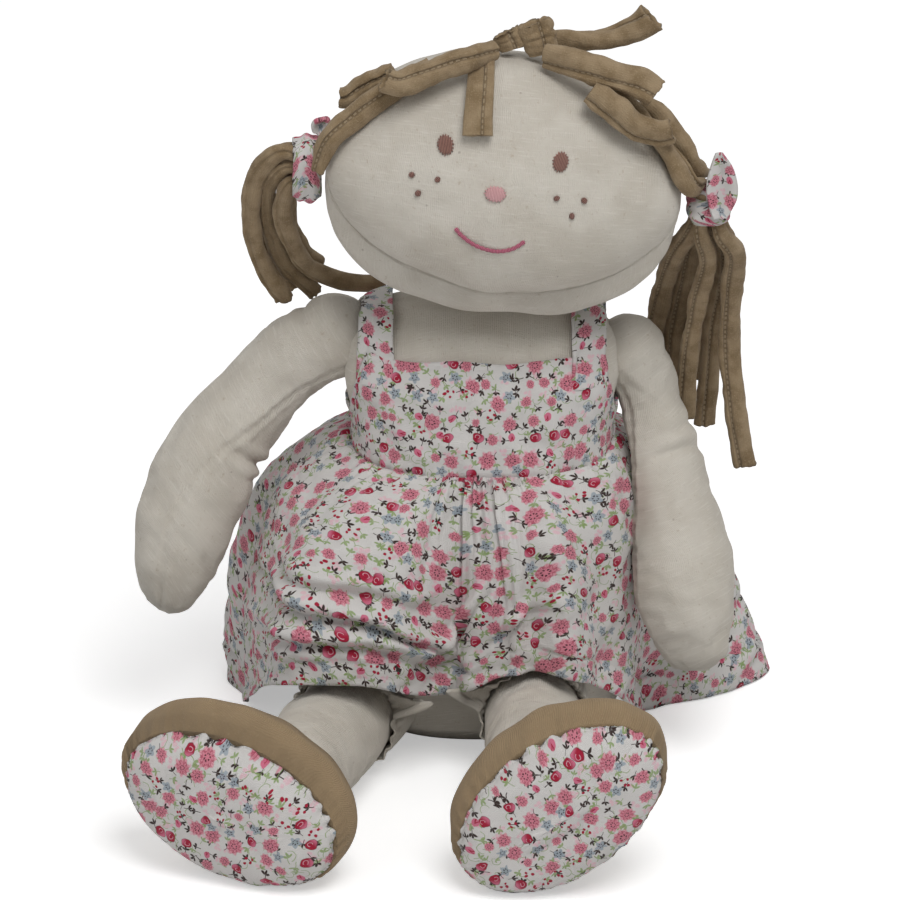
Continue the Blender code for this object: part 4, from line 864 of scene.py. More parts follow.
def makeBody():
    # Ovals from the seat to the neck, closed below by a flat seat and above by a low dome.
    s = bodySettings
    heights = np.linspace(0.0022, 0.990 * s["height"], 90)
    grid = bodyRows(heights, 0.0, 140)
    low, top = grid[0], grid[-1]
    lowMiddle, topMiddle = low.mean(0), top.mean(0)
    shares = np.array((0.1, 0.5, 0.85))[:, None, None]
    under = lowMiddle + (low - lowMiddle) * shares
    under[:, :, 2] = 0.0018
    shares = np.array((0.94, 0.8, 0.6, 0.35, 0.12))
    over = topMiddle + (top - topMiddle) * shares[:, None, None]
    over[:, :, 2] += 0.0016 * np.sqrt(1 - shares**2)[:, None]
    grid = np.concatenate([under, grid, over])
    places = flatPlaces(grid, True, 105)
    change = ripples(grid, 0.028, 11) * 0.0006 + ripples(grid, 0.011, 12) * 0.0002
    side = np.minimum(np.abs(grid[:, :, 1] - bodySection(grid[:, :, 2])[2]), 1.0)
    change = change - 0.0008 * bell(side, 0.0012)
    change[:4] = 0.0
    grid = grid + surfaceNormals(grid) * change[:, :, None]
    body = newPiece("body", grid, cream, True, (*lowMiddle[:2], 0.0018), tuple(over[-1].mean(0)), places)
    return settle(body, "body", ["body_front", "body_back", "body_stuffing"])


neckSettings = {"ball": 0.0135, "waist": 0.0100, "top": 0.0118, "length": 0.034, "height": 0.174}


def makeNeck():
    # A short stuffed stem: a ball at its foot, a waist, and a round top inside the head.
    s = neckSettings
    angles = np.linspace(-0.97, 0.45, 16) * math.pi / 2
    profile = [(s["ball"] * math.cos(a), s["ball"] * math.sin(a)) for a in angles]
    profile += [(s["waist"], 0.0125), (s["waist"] * 1.04, 0.016), (s["top"], 0.021), (s["top"], 0.031), (s["top"] * 0.7, 0.0336)]
    profile = curveThrough(profile, 60)
    ring = np.stack([np.cos(ringAngles(64)), np.sin(ringAngles(64))], 1)
    level = np.broadcast_to((profile[:, 1] + s["height"])[:, None], (60, 64))
    grid = np.concatenate([profile[:, 0][:, None, None] * ring[None], level[:, :, None]], 2)
    neck = newPiece("neck_stem", grid, cream, True, (0, 0, s["height"] - s["ball"]), (0, 0, s["height"] + s["length"]))
    return settle(neck, "neck", ["neck"])


# ---- arms

armSettings = {
    "length": 0.140,
    "radius": 0.0185,
    "right": {
        "shoulder": (-0.058, 0.003, 0.1635),
        "side": -1,
        "route": (
            (0, 0, 0),
            (0.126, 0.014, -0.075),
            (0.254, 0.036, -0.218),
            (0.347, 0.079, -0.335),
            (0.419, 0.136, -0.494),
            (0.457, 0.193, -0.629),
            (0.483, 0.225, -0.725),
        ),
        "radii": (0.88, 0.88, 0.85, 0.88, 0.96, 1.03, 1.05, 1.01, 0.88),
        "tip": ((8.5, 0.76), (9.0, 0.58), (9.2, 0.44), (9.32, 0.28), (9.38, 0.12)),
        "seamTurn": (-35, -30, -10, 15, 25, 20),
        "creases": ((0.52, 200, 0.0022), (0.57, 150, 0.0012), (0.13, 60, 0.0012)),
    },
    "left": {
        "shoulder": (0.058, 0.003, 0.1565),
        "side": 1,
        "route": (
            (0, 0, 0),
            (0.052, 0.014, -0.104),
            (0.094, 0.064, -0.266),
            (0.124, 0.129, -0.390),
            (0.154, 0.214, -0.524),
            (0.164, 0.286, -0.625),
            (0.182, 0.336, -0.706),
            (0.203, 0.379, -0.786),
        ),
        "radii": (0.80, 0.70, 0.66, 0.71, 0.81, 0.95, 1.05, 1.07, 0.94),
        "tip": ((8.5, 0.80), (9.0, 0.61), (9.2, 0.46), (9.32, 0.30), (9.38, 0.13)),
        "seamTurn": (35, 40, 55, 70, 75, 70),
        "creases": ((0.40, 230, 0.0016), (0.33, 180, 0.0010)),
    },
    "rows": 110,
    "columns": 72,
}


def makeArm(sideName):
    # A ball sewn in at the shoulder, then p(u, t) = route(t) + r(t) (cos u side + sin u up), closed by a round hand.
    s, arm = armSettings, armSettings[sideName]
    shoulder = np.array(arm["shoulder"])
    route = shoulder + s["length"] * np.array(arm["route"]) * (arm["side"], -1, 1)
    dense = curveThrough(route, 200)
    dense = np.vstack([dense, dense[-1] + (dense[-1] - dense[-2]) / np.linalg.norm(dense[-1] - dense[-2]) * 0.0052])
    table = np.array([(k, share) for k, share in enumerate(arm["radii"])] + list(arm["tip"]))
    path = evenSteps(dense, s["rows"])
    radii = readTable(table, np.linspace(0, 9.38, s["rows"]))[:, 0] * s["radius"]
    ball = radii[0]
    angles = np.linspace(0.08, 0.46, 8) * math.pi
    start = path[1] - path[0]
    start /= np.linalg.norm(start)
    path = np.vstack([path[0] - start * ball * np.cos(angles)[:, None], path])
    radii = np.concatenate([ball * np.sin(angles), radii])
    ahead, sides, ups = framesAlong(path, (0.0, 1.0, 0.0))
    turns = ringAngles(s["columns"])
    ring = np.cos(turns)[None, :, None] * sides[:, None] + np.sin(turns)[None, :, None] * ups[:, None] * 0.97
    grid = path[:, None] + ring * radii[:, None, None]
    places = flatPlaces(grid, True)
    t = np.linspace(0, 1, len(path))[:, None]
    # the panels' seam runs along the front of the arm
    seam = -90 + curveThrough(arm["seamTurn"], len(path))[:, :1]
    turned = (np.degrees(turns)[None, :] - seam + 180) % 360 - 180
    fromSeam = np.radians(turned) * radii[:, None]
    length = places[:, :-1, 1]
    change = -0.0009 * bell(fromSeam, 0.0010) + 0.00045 * bell(np.abs(fromSeam) - 0.0024, 0.0014)
    change += 0.00028 * np.sin(2 * math.pi * length / 0.0052 + 1.8 * np.sin(length / 0.013)) * np.exp(-np.abs(fromSeam) / 0.004)
    for place, turn, depth in arm["creases"]:
        away = (np.degrees(turns)[None, :] - turn + 180) % 360 - 180
        bend = (t - place) + 0.02 * np.cos(np.radians(away))
        change -= depth * bell(bend, 0.014) * bell(away, 62)
        change += depth * 0.45 * bell(np.abs(bend) - 0.035, 0.02) * bell(away, 70)
    change += ripples(grid, 0.026, 21 + arm["side"]) * 0.0006 + ripples(grid, 0.010, 25 + arm["side"]) * 0.0002
    change[-3:] *= 0.3
    grid = grid + surfaceNormals(grid) * change[:, :, None]
    piece = newPiece("arm_" + sideName, grid, cream, True, tuple(path[0] - start * 0.0005), tuple(dense[-1]), places)
    sewn = (np.abs(fromSeam) < 0.0006) | (t < 0.06)
    relaxed(piece, grid, sewn, 0.03, 2.0, 0.0011)
    return settle(piece, "arm_" + sideName, ["arm_%s_cover" % sideName, "arm_%s_stuffing" % sideName])


# ---- legs and feet

legSettings = {
    "thigh": 0.019,
    "ankle": 0.0185,
    "length": 0.102,
    "soleLength": 0.091,
    "soleWidth": 0.057,
    "soleBulge": 0.013,
    "footDepth": 0.030,
    "toeShift": 0.010,
    "floorCut": 0.0005,
    "hipHeight": 0.0225,
    "hipForward": 0.030,
    "right": {"hip": -0.044, "side": -1, "splay": 20.0, "toe": 72.5},
    "left": {"hip": 0.020, "side": 1, "splay": 1.0, "toe": 52.0},
    "radii": (1.0, 1.0, 1.03, 1.04, 1.02, 0.985),
    # depth, then the size from the ankle's circle to the sole's oval and the share of the puff
    "boot": (
        (0.0, 0.0, 0.0),
        (0.16, 0.26, 0.35),
        (0.36, 0.60, 0.90),
        (0.60, 0.88, 1.0),
        (0.83, 0.98, 0.62),
        (1.0, 1.0, 0.0),
    ),
    "puff": {"right": 0.0056, "left": 0.0044},
    # share of the way to the middle that the gathers draw the sole's edge in
    "scallop": 0.026,
    "sole": ((0.0, 1.0), (0.42, 0.94), (0.80, 0.76), (0.96, 0.45), (1.0, 0.0)),
}


def legFrame(sideName):
    # The hip, the leg's direction, and the sole's toe and cross directions, so that the foot stands on the floor.
    s, leg = legSettings, legSettings[sideName]
    toe, splay = math.radians(leg["toe"]), math.radians(leg["splay"])
    halfRise = math.hypot(s["soleLength"] / 2 * math.cos(toe), s["soleWidth"] / 2 * math.sin(toe))
    reach = s["length"] + s["footDepth"]
    rise = halfRise - s["toeShift"] * math.cos(toe) - s["floorCut"] - s["hipHeight"]
    flat = math.sqrt(reach**2 - rise**2)
    way = Vector((leg["side"] * math.sin(splay) * flat, -math.cos(splay) * flat, rise)).normalized()
    level = Vector((0, 0, 1)).cross(way).normalized() * leg["side"]
    upright = way.cross(level).normalized()
    upright = -upright if upright.z < 0 else upright
    toeWay = (upright * math.cos(toe) + level * math.sin(toe)).normalized()
    crossWay = way.cross(toeWay).normalized()
    hip = Vector((leg["hip"], -s["hipForward"], s["hipHeight"]))
    return tuple(np.array(v) for v in (hip, way, toeWay, crossWay, upright))


def legRings(frameOfLeg, along, halfLong, halfWide, shift, rise, columns):
    # p(u, v) = hip + v way + shift toe + rise up + a cos u toe + b sin u cross
    hip, way, toeWay, crossWay, upright = frameOfLeg
    angles = ringAngles(columns)
    centres = hip + along[:, None] * way + shift[:, None] * toeWay + rise[:, None] * upright
    ring = np.cos(angles)[None, :, None] * toeWay * halfLong[:, None, None]
    return centres[:, None] + ring + np.sin(angles)[None, :, None] * crossWay * halfWide[:, None, None]


def aboveFloor(grid, height=0.0002):
    grid[:, :, 2] = np.maximum(grid[:, :, 2], height)
    return grid


def makeLeg(sideName):
    s = legSettings
    sole, body = legFrame(sideName), "leg_" + sideName
    hip, way, toeWay, crossWay, upright = sole
    seed = 40 if sideName == "left" else 50

    # the leg: a stuffed tube from the hip, gathered a little where it meets the foot
    along = np.linspace(0, s["length"] + 0.004, 96)
    radii = curveThrough(s["radii"], 96)[:, 0] * s["thigh"]
    angles = np.linspace(0.08, 0.46, 8) * math.pi
    along = np.concatenate([-radii[0] * np.cos(angles), along])
    radii = np.concatenate([radii[0] * np.sin(angles), radii])
    still = np.zeros(len(along))
    grid = legRings(sole, along, radii, radii, still, still, 80)
    places = flatPlaces(grid, True)
    t = np.clip(along / s["length"], 0, 1)[:, None]
    turns = ringAngles(80)[None, :]
    change = ripples(grid, 0.026, seed) * 0.0007 + ripples(grid, 0.011, seed + 1) * 0.00025
    change += 0.0005 * np.sin(turns * 26 + 1.5 * np.sin(turns * 5)) * bell(t - 1.0, 0.10)
    change -= 0.0012 * bell(t - 0.93, 0.03) * (0.6 + 0.4 * np.sin(turns * 3 + seed))
    change -= 0.0008 * bell(t - 0.80, 0.02) * np.clip(np.sin(turns * 2 + seed), 0, 1)
    grid = aboveFloor(grid + surfaceNormals(grid) * change[:, :, None])
    tip = hip + way * along[-1]
    leg = newPiece("leg_" + sideName, grid, cream, True, tuple(hip - way * radii[8]), tuple(tip), places)
    relaxed(leg, grid, (t < 0.05) | (t > 0.99), 0.03, 1.5, 0.0009)
    settle(leg, body, ["leg_%s_cover" % sideName, "leg_%s_stuffing" % sideName])

    # the foot's upper: from a round ankle to the sole's oval, turned in under the sole's edge
    depth = np.linspace(0, 1, 60)
    size, puff = readTable(s["boot"], depth).T
    puff = np.clip(puff, 0, 2) * s["puff"][sideName]
    halfLong = s["ankle"] + (s["soleLength"] / 2 - s["ankle"]) * size + puff
    halfWide = s["ankle"] + (s["soleWidth"] / 2 - s["ankle"]) * size + puff
    along = s["length"] + 0.0003 + depth * (s["footDepth"] - 0.0003)
    inside = np.array((0.55, 0.85, 0.97))
    along = np.concatenate([along[:1] + (-0.0002, 0.0, 0.0), along, [along[-1] + 0.0002] * 2])
    halfLong = np.concatenate([halfLong[0] * inside, halfLong, halfLong[-1] * np.array((0.96, 0.6))])
    halfWide = np.concatenate([halfWide[0] * inside, halfWide, halfWide[-1] * np.array((0.96, 0.6))])
    shift = np.concatenate([[0, 0, 0], s["toeShift"] * size, [s["toeShift"]] * 2])
    rise = np.concatenate([[0, 0, 0], puff, [0, 0]])
    grid = legRings(sole, along, halfLong, halfWide, shift, rise, 160)
    places = flatPlaces(grid, True)
    level = np.concatenate([[0, 0, 0], depth, [1, 1]])[:, None]
    turns = ringAngles(160)[None, :]
    change = ripples(grid, 0.018, seed + 2) * 0.0006
    change += 0.0005 * np.sin(turns * 46 + 2.0 * np.sin(turns * 7)) * bell(level - 1.0, 0.16)
    change += 0.0004 * np.sin(turns * 30) * bell(level, 0.15)
    change -= 0.0008 * bell(level, 0.03)
    change[:3] = change[-2:] = 0
    grid = aboveFloor(grid + surfaceNormals(grid) * change[:, :, None])
    start = hip + way * (s["length"] - 0.0002)
    end = hip + way * along[-1] + toeWay * s["toeShift"]
    upper = newPiece("foot_upper_" + sideName, grid, tan, True, tuple(start), tuple(end), places)
    settle(upper, body, ["foot_%s_upper" % sideName])

    # the sole: a low dome of printed cloth with a puckered edge
    q = np.linspace(0, 0.985, 60)
    table = curveThrough(s["sole"], q * (len(s["sole"]) - 1))
    rise, size = table[:, 0], table[:, 1]
    base = s["length"] + s["footDepth"] + 0.0004
    along = base + rise * s["soleBulge"]
    halfLong, halfWide = size * s["soleLength"] / 2, size * s["soleWidth"] / 2
    inner = np.array((0.5, 0.93))
    along = np.concatenate([[base + 0.0002] * 2, along])
    halfLong = np.concatenate([halfLong[0] * inner, halfLong])
    halfWide = np.concatenate([halfWide[0] * inner, halfWide])
    shift = np.full(len(along), s["toeShift"])
    grid = legRings(sole, along, halfLong, halfWide, shift, 0 * shift, 200)
    turns = ringAngles(200)[None, :]
    level = np.concatenate([[0, 0], rise])[:, None]  # 0 at the seam, 1 at the dome's top
    end = hip + way * (base + s["soleBulge"]) + toeWay * s["toeShift"]
    gathers = np.sin(turns * 23 + 2.6 * np.sin(turns * 5) + 1.8 * np.sin(turns * 3)) * (0.65 + 0.35 * np.sin(turns * 4 + seed))
    fine = np.sin(turns * 61 + 2.4 * np.sin(turns * 9))
    change = (0.0008 * gathers + 0.0003 * fine) * np.exp(-level / 0.20)
    change -= 0.0009 * bell(level - 0.08, 0.10) * (0.5 - 0.5 * gathers)
    change += ripples(grid, 0.020, seed + 3) * 0.0005
    change[:2] = 0
    inwards = np.clip(0.5 - 0.5 * gathers, 0, 1) * np.exp(-level / 0.16) * np.array(s["scallop"])
    inwards[:2] = 0
    grid = grid + (end - grid) * inwards[:, :, None]
    grid = grid + surfaceNormals(grid) * change[:, :, None]
    flat = np.stack([(grid - hip) @ toeWay, (grid - hip) @ crossWay], 2)
    flat = np.concatenate([flat, flat[:, :1]], 1)
    grid = aboveFloor(grid)
    start = hip + way * (base + 0.0004) + toeWay * s["toeShift"]
    soleCloth = newPiece("foot_sole_" + sideName, grid, floral, True, tuple(start), tuple(end), flat)
    relaxed(soleCloth, grid, level < 0.02, 0.05, 3.0, 0.0013)
    settle(soleCloth, body, ["foot_%s_sole" % sideName])
    return sole


# ---- knickers

knickersSettings = {
    "height": 0.085,
    "ease": 0.0024,
    "legStart": 0.0038,
    "legLength": 0.0285,
    "frill": 0.0075,
    "wave": 0.0009,
    # how far the frill spreads on the side towards the other leg
    "spread": {"right": 0.0182, "left": 0.0172},
    # the frill stays under the dress's hem
    "under": 0.0375,
}


def makeKnickers(soles):
    s = knickersSettings
    heights = np.linspace(0.0002, s["height"], 50)
    grid = bodyRows(heights, s["ease"], 160)
    middle = grid[0].mean(0)
    under = middle + (grid[0] - middle) * np.array((0.12, 0.5, 0.85))[:, None, None]
    under[:, :, 2] = 0.0
    grid = np.concatenate([under, grid])
    turns = ringAngles(160)[None, :]
    level = np.concatenate([[0, 0, 0], heights / s["height"]])[:, None]
    change = 0.0005 * np.sin(turns * 40 + 2 * np.sin(turns * 6)) * level**2
    change[:6] = 0
    grid = grid + surfaceNormals(grid) * change[:, :, None]
    seat = newPiece("knickers_seat_cloth", grid, knickersCloth, True, (*middle[:2], 0.0))
    thicken(seat, 0.0008)
    settle(seat, "body", ["knickers_seat"])
    for sideName, sole in soles.items():
        hip, way, toeWay, crossWay, upright = sole
        radius = 0.019 * 1.04 + 0.0017
        t = np.linspace(0, 1, 60)
        along = s["legStart"] + t * (s["legLength"] + s["frill"] - s["legStart"])
        frill = np.clip((along - s["legLength"]) / s["frill"], 0, 1)
        puff = 0.0006 * np.sin(math.pi * np.clip(t / 0.75, 0, 1))
        size = radius + puff - 0.0008 * bell(along - s["legLength"] + 0.001, 0.0016)
        still = np.zeros(len(along))
        grid = legRings(sole, along, size, size, still, still, 220)
        turns = ringAngles(220)[None, :]
        outward = grid - (hip + along[:, None] * way)[:, None]
        outward /= np.linalg.norm(outward, axis=2, keepdims=True)
        wave = np.sin(turns * 17 + 1.6 * np.sin(turns * 4))
        elevation = np.degrees(np.arctan2(outward[:, :, 2], -legSettings[sideName]["side"] * outward[:, :, 0]))
        # a blunt tongue whose lower edge is scalloped along its length
        inner = np.exp(-(np.abs((elevation - 30.0) / (15.0 - 4.0 * np.abs(np.sin(2 * math.pi * frill[:, None])))) ** 6))
        change = frill[:, None] * (0.0002 + s["wave"] * wave + s["spread"][sideName] * inner)
        change += 0.0004 * np.sin(turns * 34 + 2 * np.sin(turns * 5)) * bell(along - s["legLength"], 0.006)[:, None]
        scallop = np.abs(np.sin(turns * 13)) * np.clip(frill[:, None] * 2.5 - 1.5, 0, 1)
        change += 0.0012 * scallop * inner * frill[:, None]
        bend = 0.0006 * scallop - 0.45 * s["frill"] * frill[:, None] ** 2
        # the frill is short on top and outside, under the hem
        outer = np.clip(0.5 + legSettings[sideName]["side"] * outward[:, :, 0] / 0.6, 0, 1)
        bend -= 0.45 * s["frill"] * frill[:, None] * outer
        grid = aboveFloor(grid + outward * change[:, :, None] + way * bend[:, :, None])
        grid[:, :, 2] -= np.clip(grid[:, :, 2] - s["under"], 0, None) * np.clip(inner * frill[:, None] * 2, 0, 1)
        leg = newPiece("knickers_leg_cloth_" + sideName, grid, knickersCloth)
        thicken(leg, 0.0007)
        "leg_" + sideName
        settle(leg, "leg_" + sideName, ["knickers_leg_" + sideName])


# ---- dress

dressSettings = {
    "waist": 0.122,
    "top": 0.166,
    "ease": 0.0017,
    "strapWidth": 0.0112,
    "strapPlace": 0.0405,
    "strapLift": 0.0026,
    "strapFlare": 0.0025,
    "spread": 0.119,
    "reach": 0.086,
    "drop": 0.075,
    "foldDepth": 0.0032,
    "foldCount": 13,
    "shoulder": 0.04,
    "floorCut": 0.0005,
    "columns": 420,
    "rows": 110,
    "hem": (
        (-0.04, -0.76, 0.53),
        (0.084, -0.84, 0.640),
        (0.16, -0.80, 0.648),
        (0.286, -0.84, 0.635),
        (0.42, -0.55, 0.40),
        (0.53, -0.23, 0.10),
        (0.60, -0.03, 0.0),
        (0.80, 0.08, 0.0),
        (0.98, 0.40, 0.0),
        (0.82, 0.80, 0.0),
        (0.42, 0.95, 0.0),
        (0.0, 1.0, 0.0),
        (-0.42, 0.95, 0.0),
        (-0.76, 0.68, 0.0),
        (-0.86, 0.26, 0.0),
        (-0.80, -0.02, 0.03),
        (-0.76, -0.45, 0.36),
        (-0.64, -0.905, 0.64),
        (-0.336, -0.97, 0.64),
        (-0.126, -0.74, 0.48),
    ),
    # pleats from the waist: place round the skirt, slant, height and how far down they run
    "pleats": (
        (-0.020, -0.010, 0.0022, 0.62),
        (0.000, 0.004, 0.0018, 0.45),
        (0.016, 0.012, 0.0024, 0.70),
        (0.038, 0.016, 0.0020, 0.60),
        (0.075, 0.010, 0.0014, 0.45),
        (-0.060, -0.014, 0.0014, 0.40),
    ),
    # rolls over the lap: place down the skirt, lean, middle and reach round the skirt, height and width
    "rolls": (
        (0.64, 0.8, -0.13, 0.055, 0.0026, 0.030),
        (0.755, 1.3, -0.125, 0.080, 0.0046, 0.026),
        (0.85, 0.6, -0.12, 0.085, 0.0042, 0.022),
        (0.80, -2.2, -0.035, 0.035, 0.0036, 0.028),
        (0.80, -0.9, 0.075, 0.040, 0.0026, 0.030),
    ),
    "swell": (0.7, 0.7, 0.7, 0.75, 0.95, 1.15, 0.85, 0.5, 0.45, 0.7, 0.8, 0.85, 0.85, 0.9, 0.95, 0.95, 0.95, 0.85, 0.75, 0.7),
}


def armholeDip(across):
    # depth d (3 q^2 - 2 q^3), where q runs from 0 to 1 from the strap's middle to the side
    q = np.clip((np.abs(across) - 0.0435) / 0.013, 0, 1)
    return 0.027 * q * q * (3 - 2 * q)


def makeBodice():
    # The body's own ovals let out by the cloth; the top edge dips at the armholes.
    s = dressSettings
    panels = (
        ("bodice_front_cloth", math.pi + 0.01, math.pi - 0.02, 180, 90, ["bodice_front"]),
        ("bodice_back_cloth_left", 0.01, math.pi / 2 + 0.04, 90, 89, ["bodice_back_left"]),
        ("bodice_back_cloth_right", math.pi / 2 + 0.01, math.pi / 2 - 0.02, 90, 0, ["bodice_back_right"]),
    )
    for name, start, turn, columns, middle, nodes in panels:
        share = np.linspace(0, 1, 54)
        lift = 0.0009 if name.endswith("cloth_left") else 0.0
        flat = bodyRows(np.full(54, s["top"]), s["ease"] + lift, columns, start, turn, False)
        dip = armholeDip(flat[:1, :, 0]) + 0.0005 * np.sin(flat[:1, :, 0] / 0.006)
        heights = s["waist"] - 0.0012 + share[:, None] * (s["top"] - dip - s["waist"] + 0.0012)
        halfWidth, halfDepth, centre = bodySection(heights, s["ease"] + lift)
        angles = start + turn * np.arange(columns) / (columns - 1)
        across, along = ovalRing(angles, bodySettings["power"])
        grid = np.stack([halfWidth * across, halfDepth * along + centre, heights], 2)
        places = flatPlaces(grid, False, middle)
        fromTop = places[-1:, :, 1] - places[:, :, 1]
        change = ripples(grid, 0.022, 61) * 0.0007 + ripples(grid, 0.009, 62) * 0.0003
        change -= 0.0004 * bell(fromTop - 0.0042, 0.0005)  # the line of the top edge's stitching
        change += 0.0003 * bell(fromTop - 0.0015, 0.0015)
        low = places[:, :, 1]
        change -= 0.0006 * bell(low - 0.0012, 0.0008)
        change += 0.0004 * np.sin(places[:, :, 0] / 0.00075 + 2 * np.sin(places[:, :, 0] / 0.004)) * bell(low, 0.004)
        grid = grid + surfaceNormals(grid, False) * (change + 0.0003)[:, :, None]
        panel = newPiece(name, grid, floral, False, places=places)
        thicken(panel, clothThickness)
        settle(panel, "body", nodes)


def makeStraps():
    # A band over the shoulder: heights rise as sin and the band keeps to the body's own surface.
    s = dressSettings
    for sideName, side in (("right", -1), ("left", 1)):
        across = s["strapPlace"] + np.linspace(-0.5, 0.5, 17) * s["strapWidth"]
        levels = np.linspace(s["top"], bodySettings["height"], 400)
        wide = bodySection(levels)[0][None, :] >= across[:, None]
        top = levels[(wide * np.arange(400)).max(1)]
        turn = np.linspace(0, math.pi, 90)
        low = s["top"] - 0.0125
        heights = low + (top[None, :] - low) * np.sin(turn)[:, None]
        # the foot of the band widens towards the armhole and goes in under the bodice's edge
        foot = np.exp(-np.clip(heights - s["top"] + 0.006, 0, None) / 0.010)
        spread = across[None, :] + s["strapFlare"] * foot * np.linspace(0, 1, 17)[None, :]
        y = bodyWall(spread, heights, 0.0, (turn > math.pi / 2)[:, None])
        grid = np.stack([side * spread, y, heights], 2)
        grid = grid if side < 0 else grid[:, ::-1]
        for unused in range(3):
            grid[1:-1] = (grid[:-2] + 2 * grid[1:-1] + grid[2:]) / 4
        normals = surfaceNormals(grid, False)
        away = grid - np.array((0, -0.004, 0.12))
        normals *= np.sign((normals * away).sum(2, keepdims=True).mean())
        edge = np.abs(np.linspace(-1, 1, 17))[None, :]
        over = np.clip((heights - s["top"] + armholeDip(spread)) / 0.004, 0, 1)
        over = over * over * (3 - 2 * over)
        change = 0.0008 + (s["strapLift"] - 0.0007) * over - 0.0005 * edge**6 - 0.0003 * bell(edge - 0.72, 0.08)
        change = change + ripples(grid, 0.016, 70 + side) * 0.0003
        grid = grid + normals * change[:, :, None]
        strap = newPiece("strap_cloth_" + sideName, grid, floral, False)
        thicken(strap, 0.0013)
        settle(strap, "body", ["strap_" + sideName])


def makeSkirt():
    # Each column is waist (1-t)^2 + bow 2t(1-t) + hem t^2, with pleats that open downwards, gathers at the waist,
    # rolls across the lap and small creases.
    s = dressSettings
    columns = s["columns"]
    sizes = np.array((s["spread"], s["reach"], s["drop"]))
    hem = curveThrough(s["hem"], columns, True) * sizes
    hem[:, 2] = np.maximum(hem[:, 2], -s["floorCut"])
    halfWidth, halfDepth, middle = bodySection(s["waist"], s["ease"])
    power = bodySettings["power"]
    across, along = hem[:, 0] / halfWidth, (hem[:, 1] - middle) / halfDepth
    reach = (np.abs(across) ** power + np.abs(along) ** power) ** (1 / power)
    level = np.full(columns, s["waist"])
    waist = np.stack([halfWidth * across / reach, middle + halfDepth * along / reach, level], 1)
    flat = (hem - waist) * (1.0, 1.0, 0.0)
    outward = flat / np.linalg.norm(flat, axis=1)[:, None]
    swell = curveThrough(s["swell"], columns, True)
    bow = waist + flat * swell + (hem - waist) * (0.0, 0.0, s["shoulder"])
    share = np.arange(columns) / columns
    pleat = np.cos(2 * math.pi * s["foldCount"] * share)
    # the cloth unrolls to part of a ring: a column's angle is its share of the hem
    steps = np.linalg.norm(np.roll(hem, -1, 0) - hem, axis=1)
    across = np.concatenate([[0], np.cumsum(steps)])
    waistRound = np.linalg.norm(np.roll(waist, -1, 0) - waist, axis=1).sum()
    t = np.linspace(0, 1, s["rows"])[:, None, None]
    grid = waist * (1 - t) ** 2 + bow * 2 * t * (1 - t) + hem * t**2
    grid = grid + outward * pleat[None, :, None] * s["foldDepth"] * t * (1.6 - t)
    # the columns run clockwise from above, so the grid is turned to face outwards, with its join at the back
    lengths = flatPlaces(grid, True)[:, :, 1]
    half = columns // 2
    grid, share = np.roll(grid, half, 1)[:, ::-1], np.roll(share, half)[::-1][None, :]
    down = np.roll(lengths[:, :-1], half, 1)[:, ::-1]
    along = np.concatenate([across[:-1][half:] - across[-1], across[:-1][:half]])[::-1]
    along = np.concatenate([along, [along[-1] - (along[-2] - along[-1])]])
    down = np.concatenate([down, down[:, :1]], 1)
    opening = (across[-1] - waistRound) / down[-1].mean()
    angle = along * opening / across[-1]
    out = waistRound / opening + down
    places = np.stack([out * np.sin(angle), -out * np.cos(angle)], 2)
    t = t[:, :, 0]
    turned = (share + 0.5) % 1 - 0.5
    gather = np.sin(2 * math.pi * share * 64 + 4 * np.sin(2 * math.pi * share * 7) + 2 * np.sin(2 * math.pi * share * 17))
    change = 0.0011 * gather * bell(t, 0.10 + 0.07 * np.sin(2 * math.pi * share * 11)) * (1 - bell(t, 0.02))
    for place, slant, size, fade in s["pleats"]:
        line = turned - place - slant * t
        change = change + size * (bell(line, 0.0045) - 1.1 * bell(line + 0.0065, 0.0035)) * bell(t, fade) * (1 - bell(t, 0.015))
    for place, lean, middle, reach, size, width in s["rolls"]:
        line = t - place - lean * (turned - middle)
        roll = bell(turned - middle, reach) * size
        change = change + roll * (bell(line, width) - 0.9 * bell(line - width * 1.5, width * 0.6))
    change = change + ripples(grid, 0.034, 81) * 0.0014 * t + ripples(grid, 0.014, 82) * 0.0007 * t
    change = change - 0.0005 * bell((1 - t) - 0.075, 0.006)  # the hem's stitching
    change = change * (1 - bell(t - 1.0, 0.01) * 0.5)
    grid = grid + surfaceNormals(grid) * change[:, :, None]
    grid[:, :, 2] = np.maximum(grid[:, :, 2], 0.0006)
    skirt = newPiece("skirt_cloth", grid, floral, places=places)
    relaxed(skirt, grid, (t < 0.02) | (t > 0.985), 0.045, 0.0, 0.0022)
    thicken(skirt, 0.0009)
    settle(skirt, "body", ["skirt"])


# ---- hair

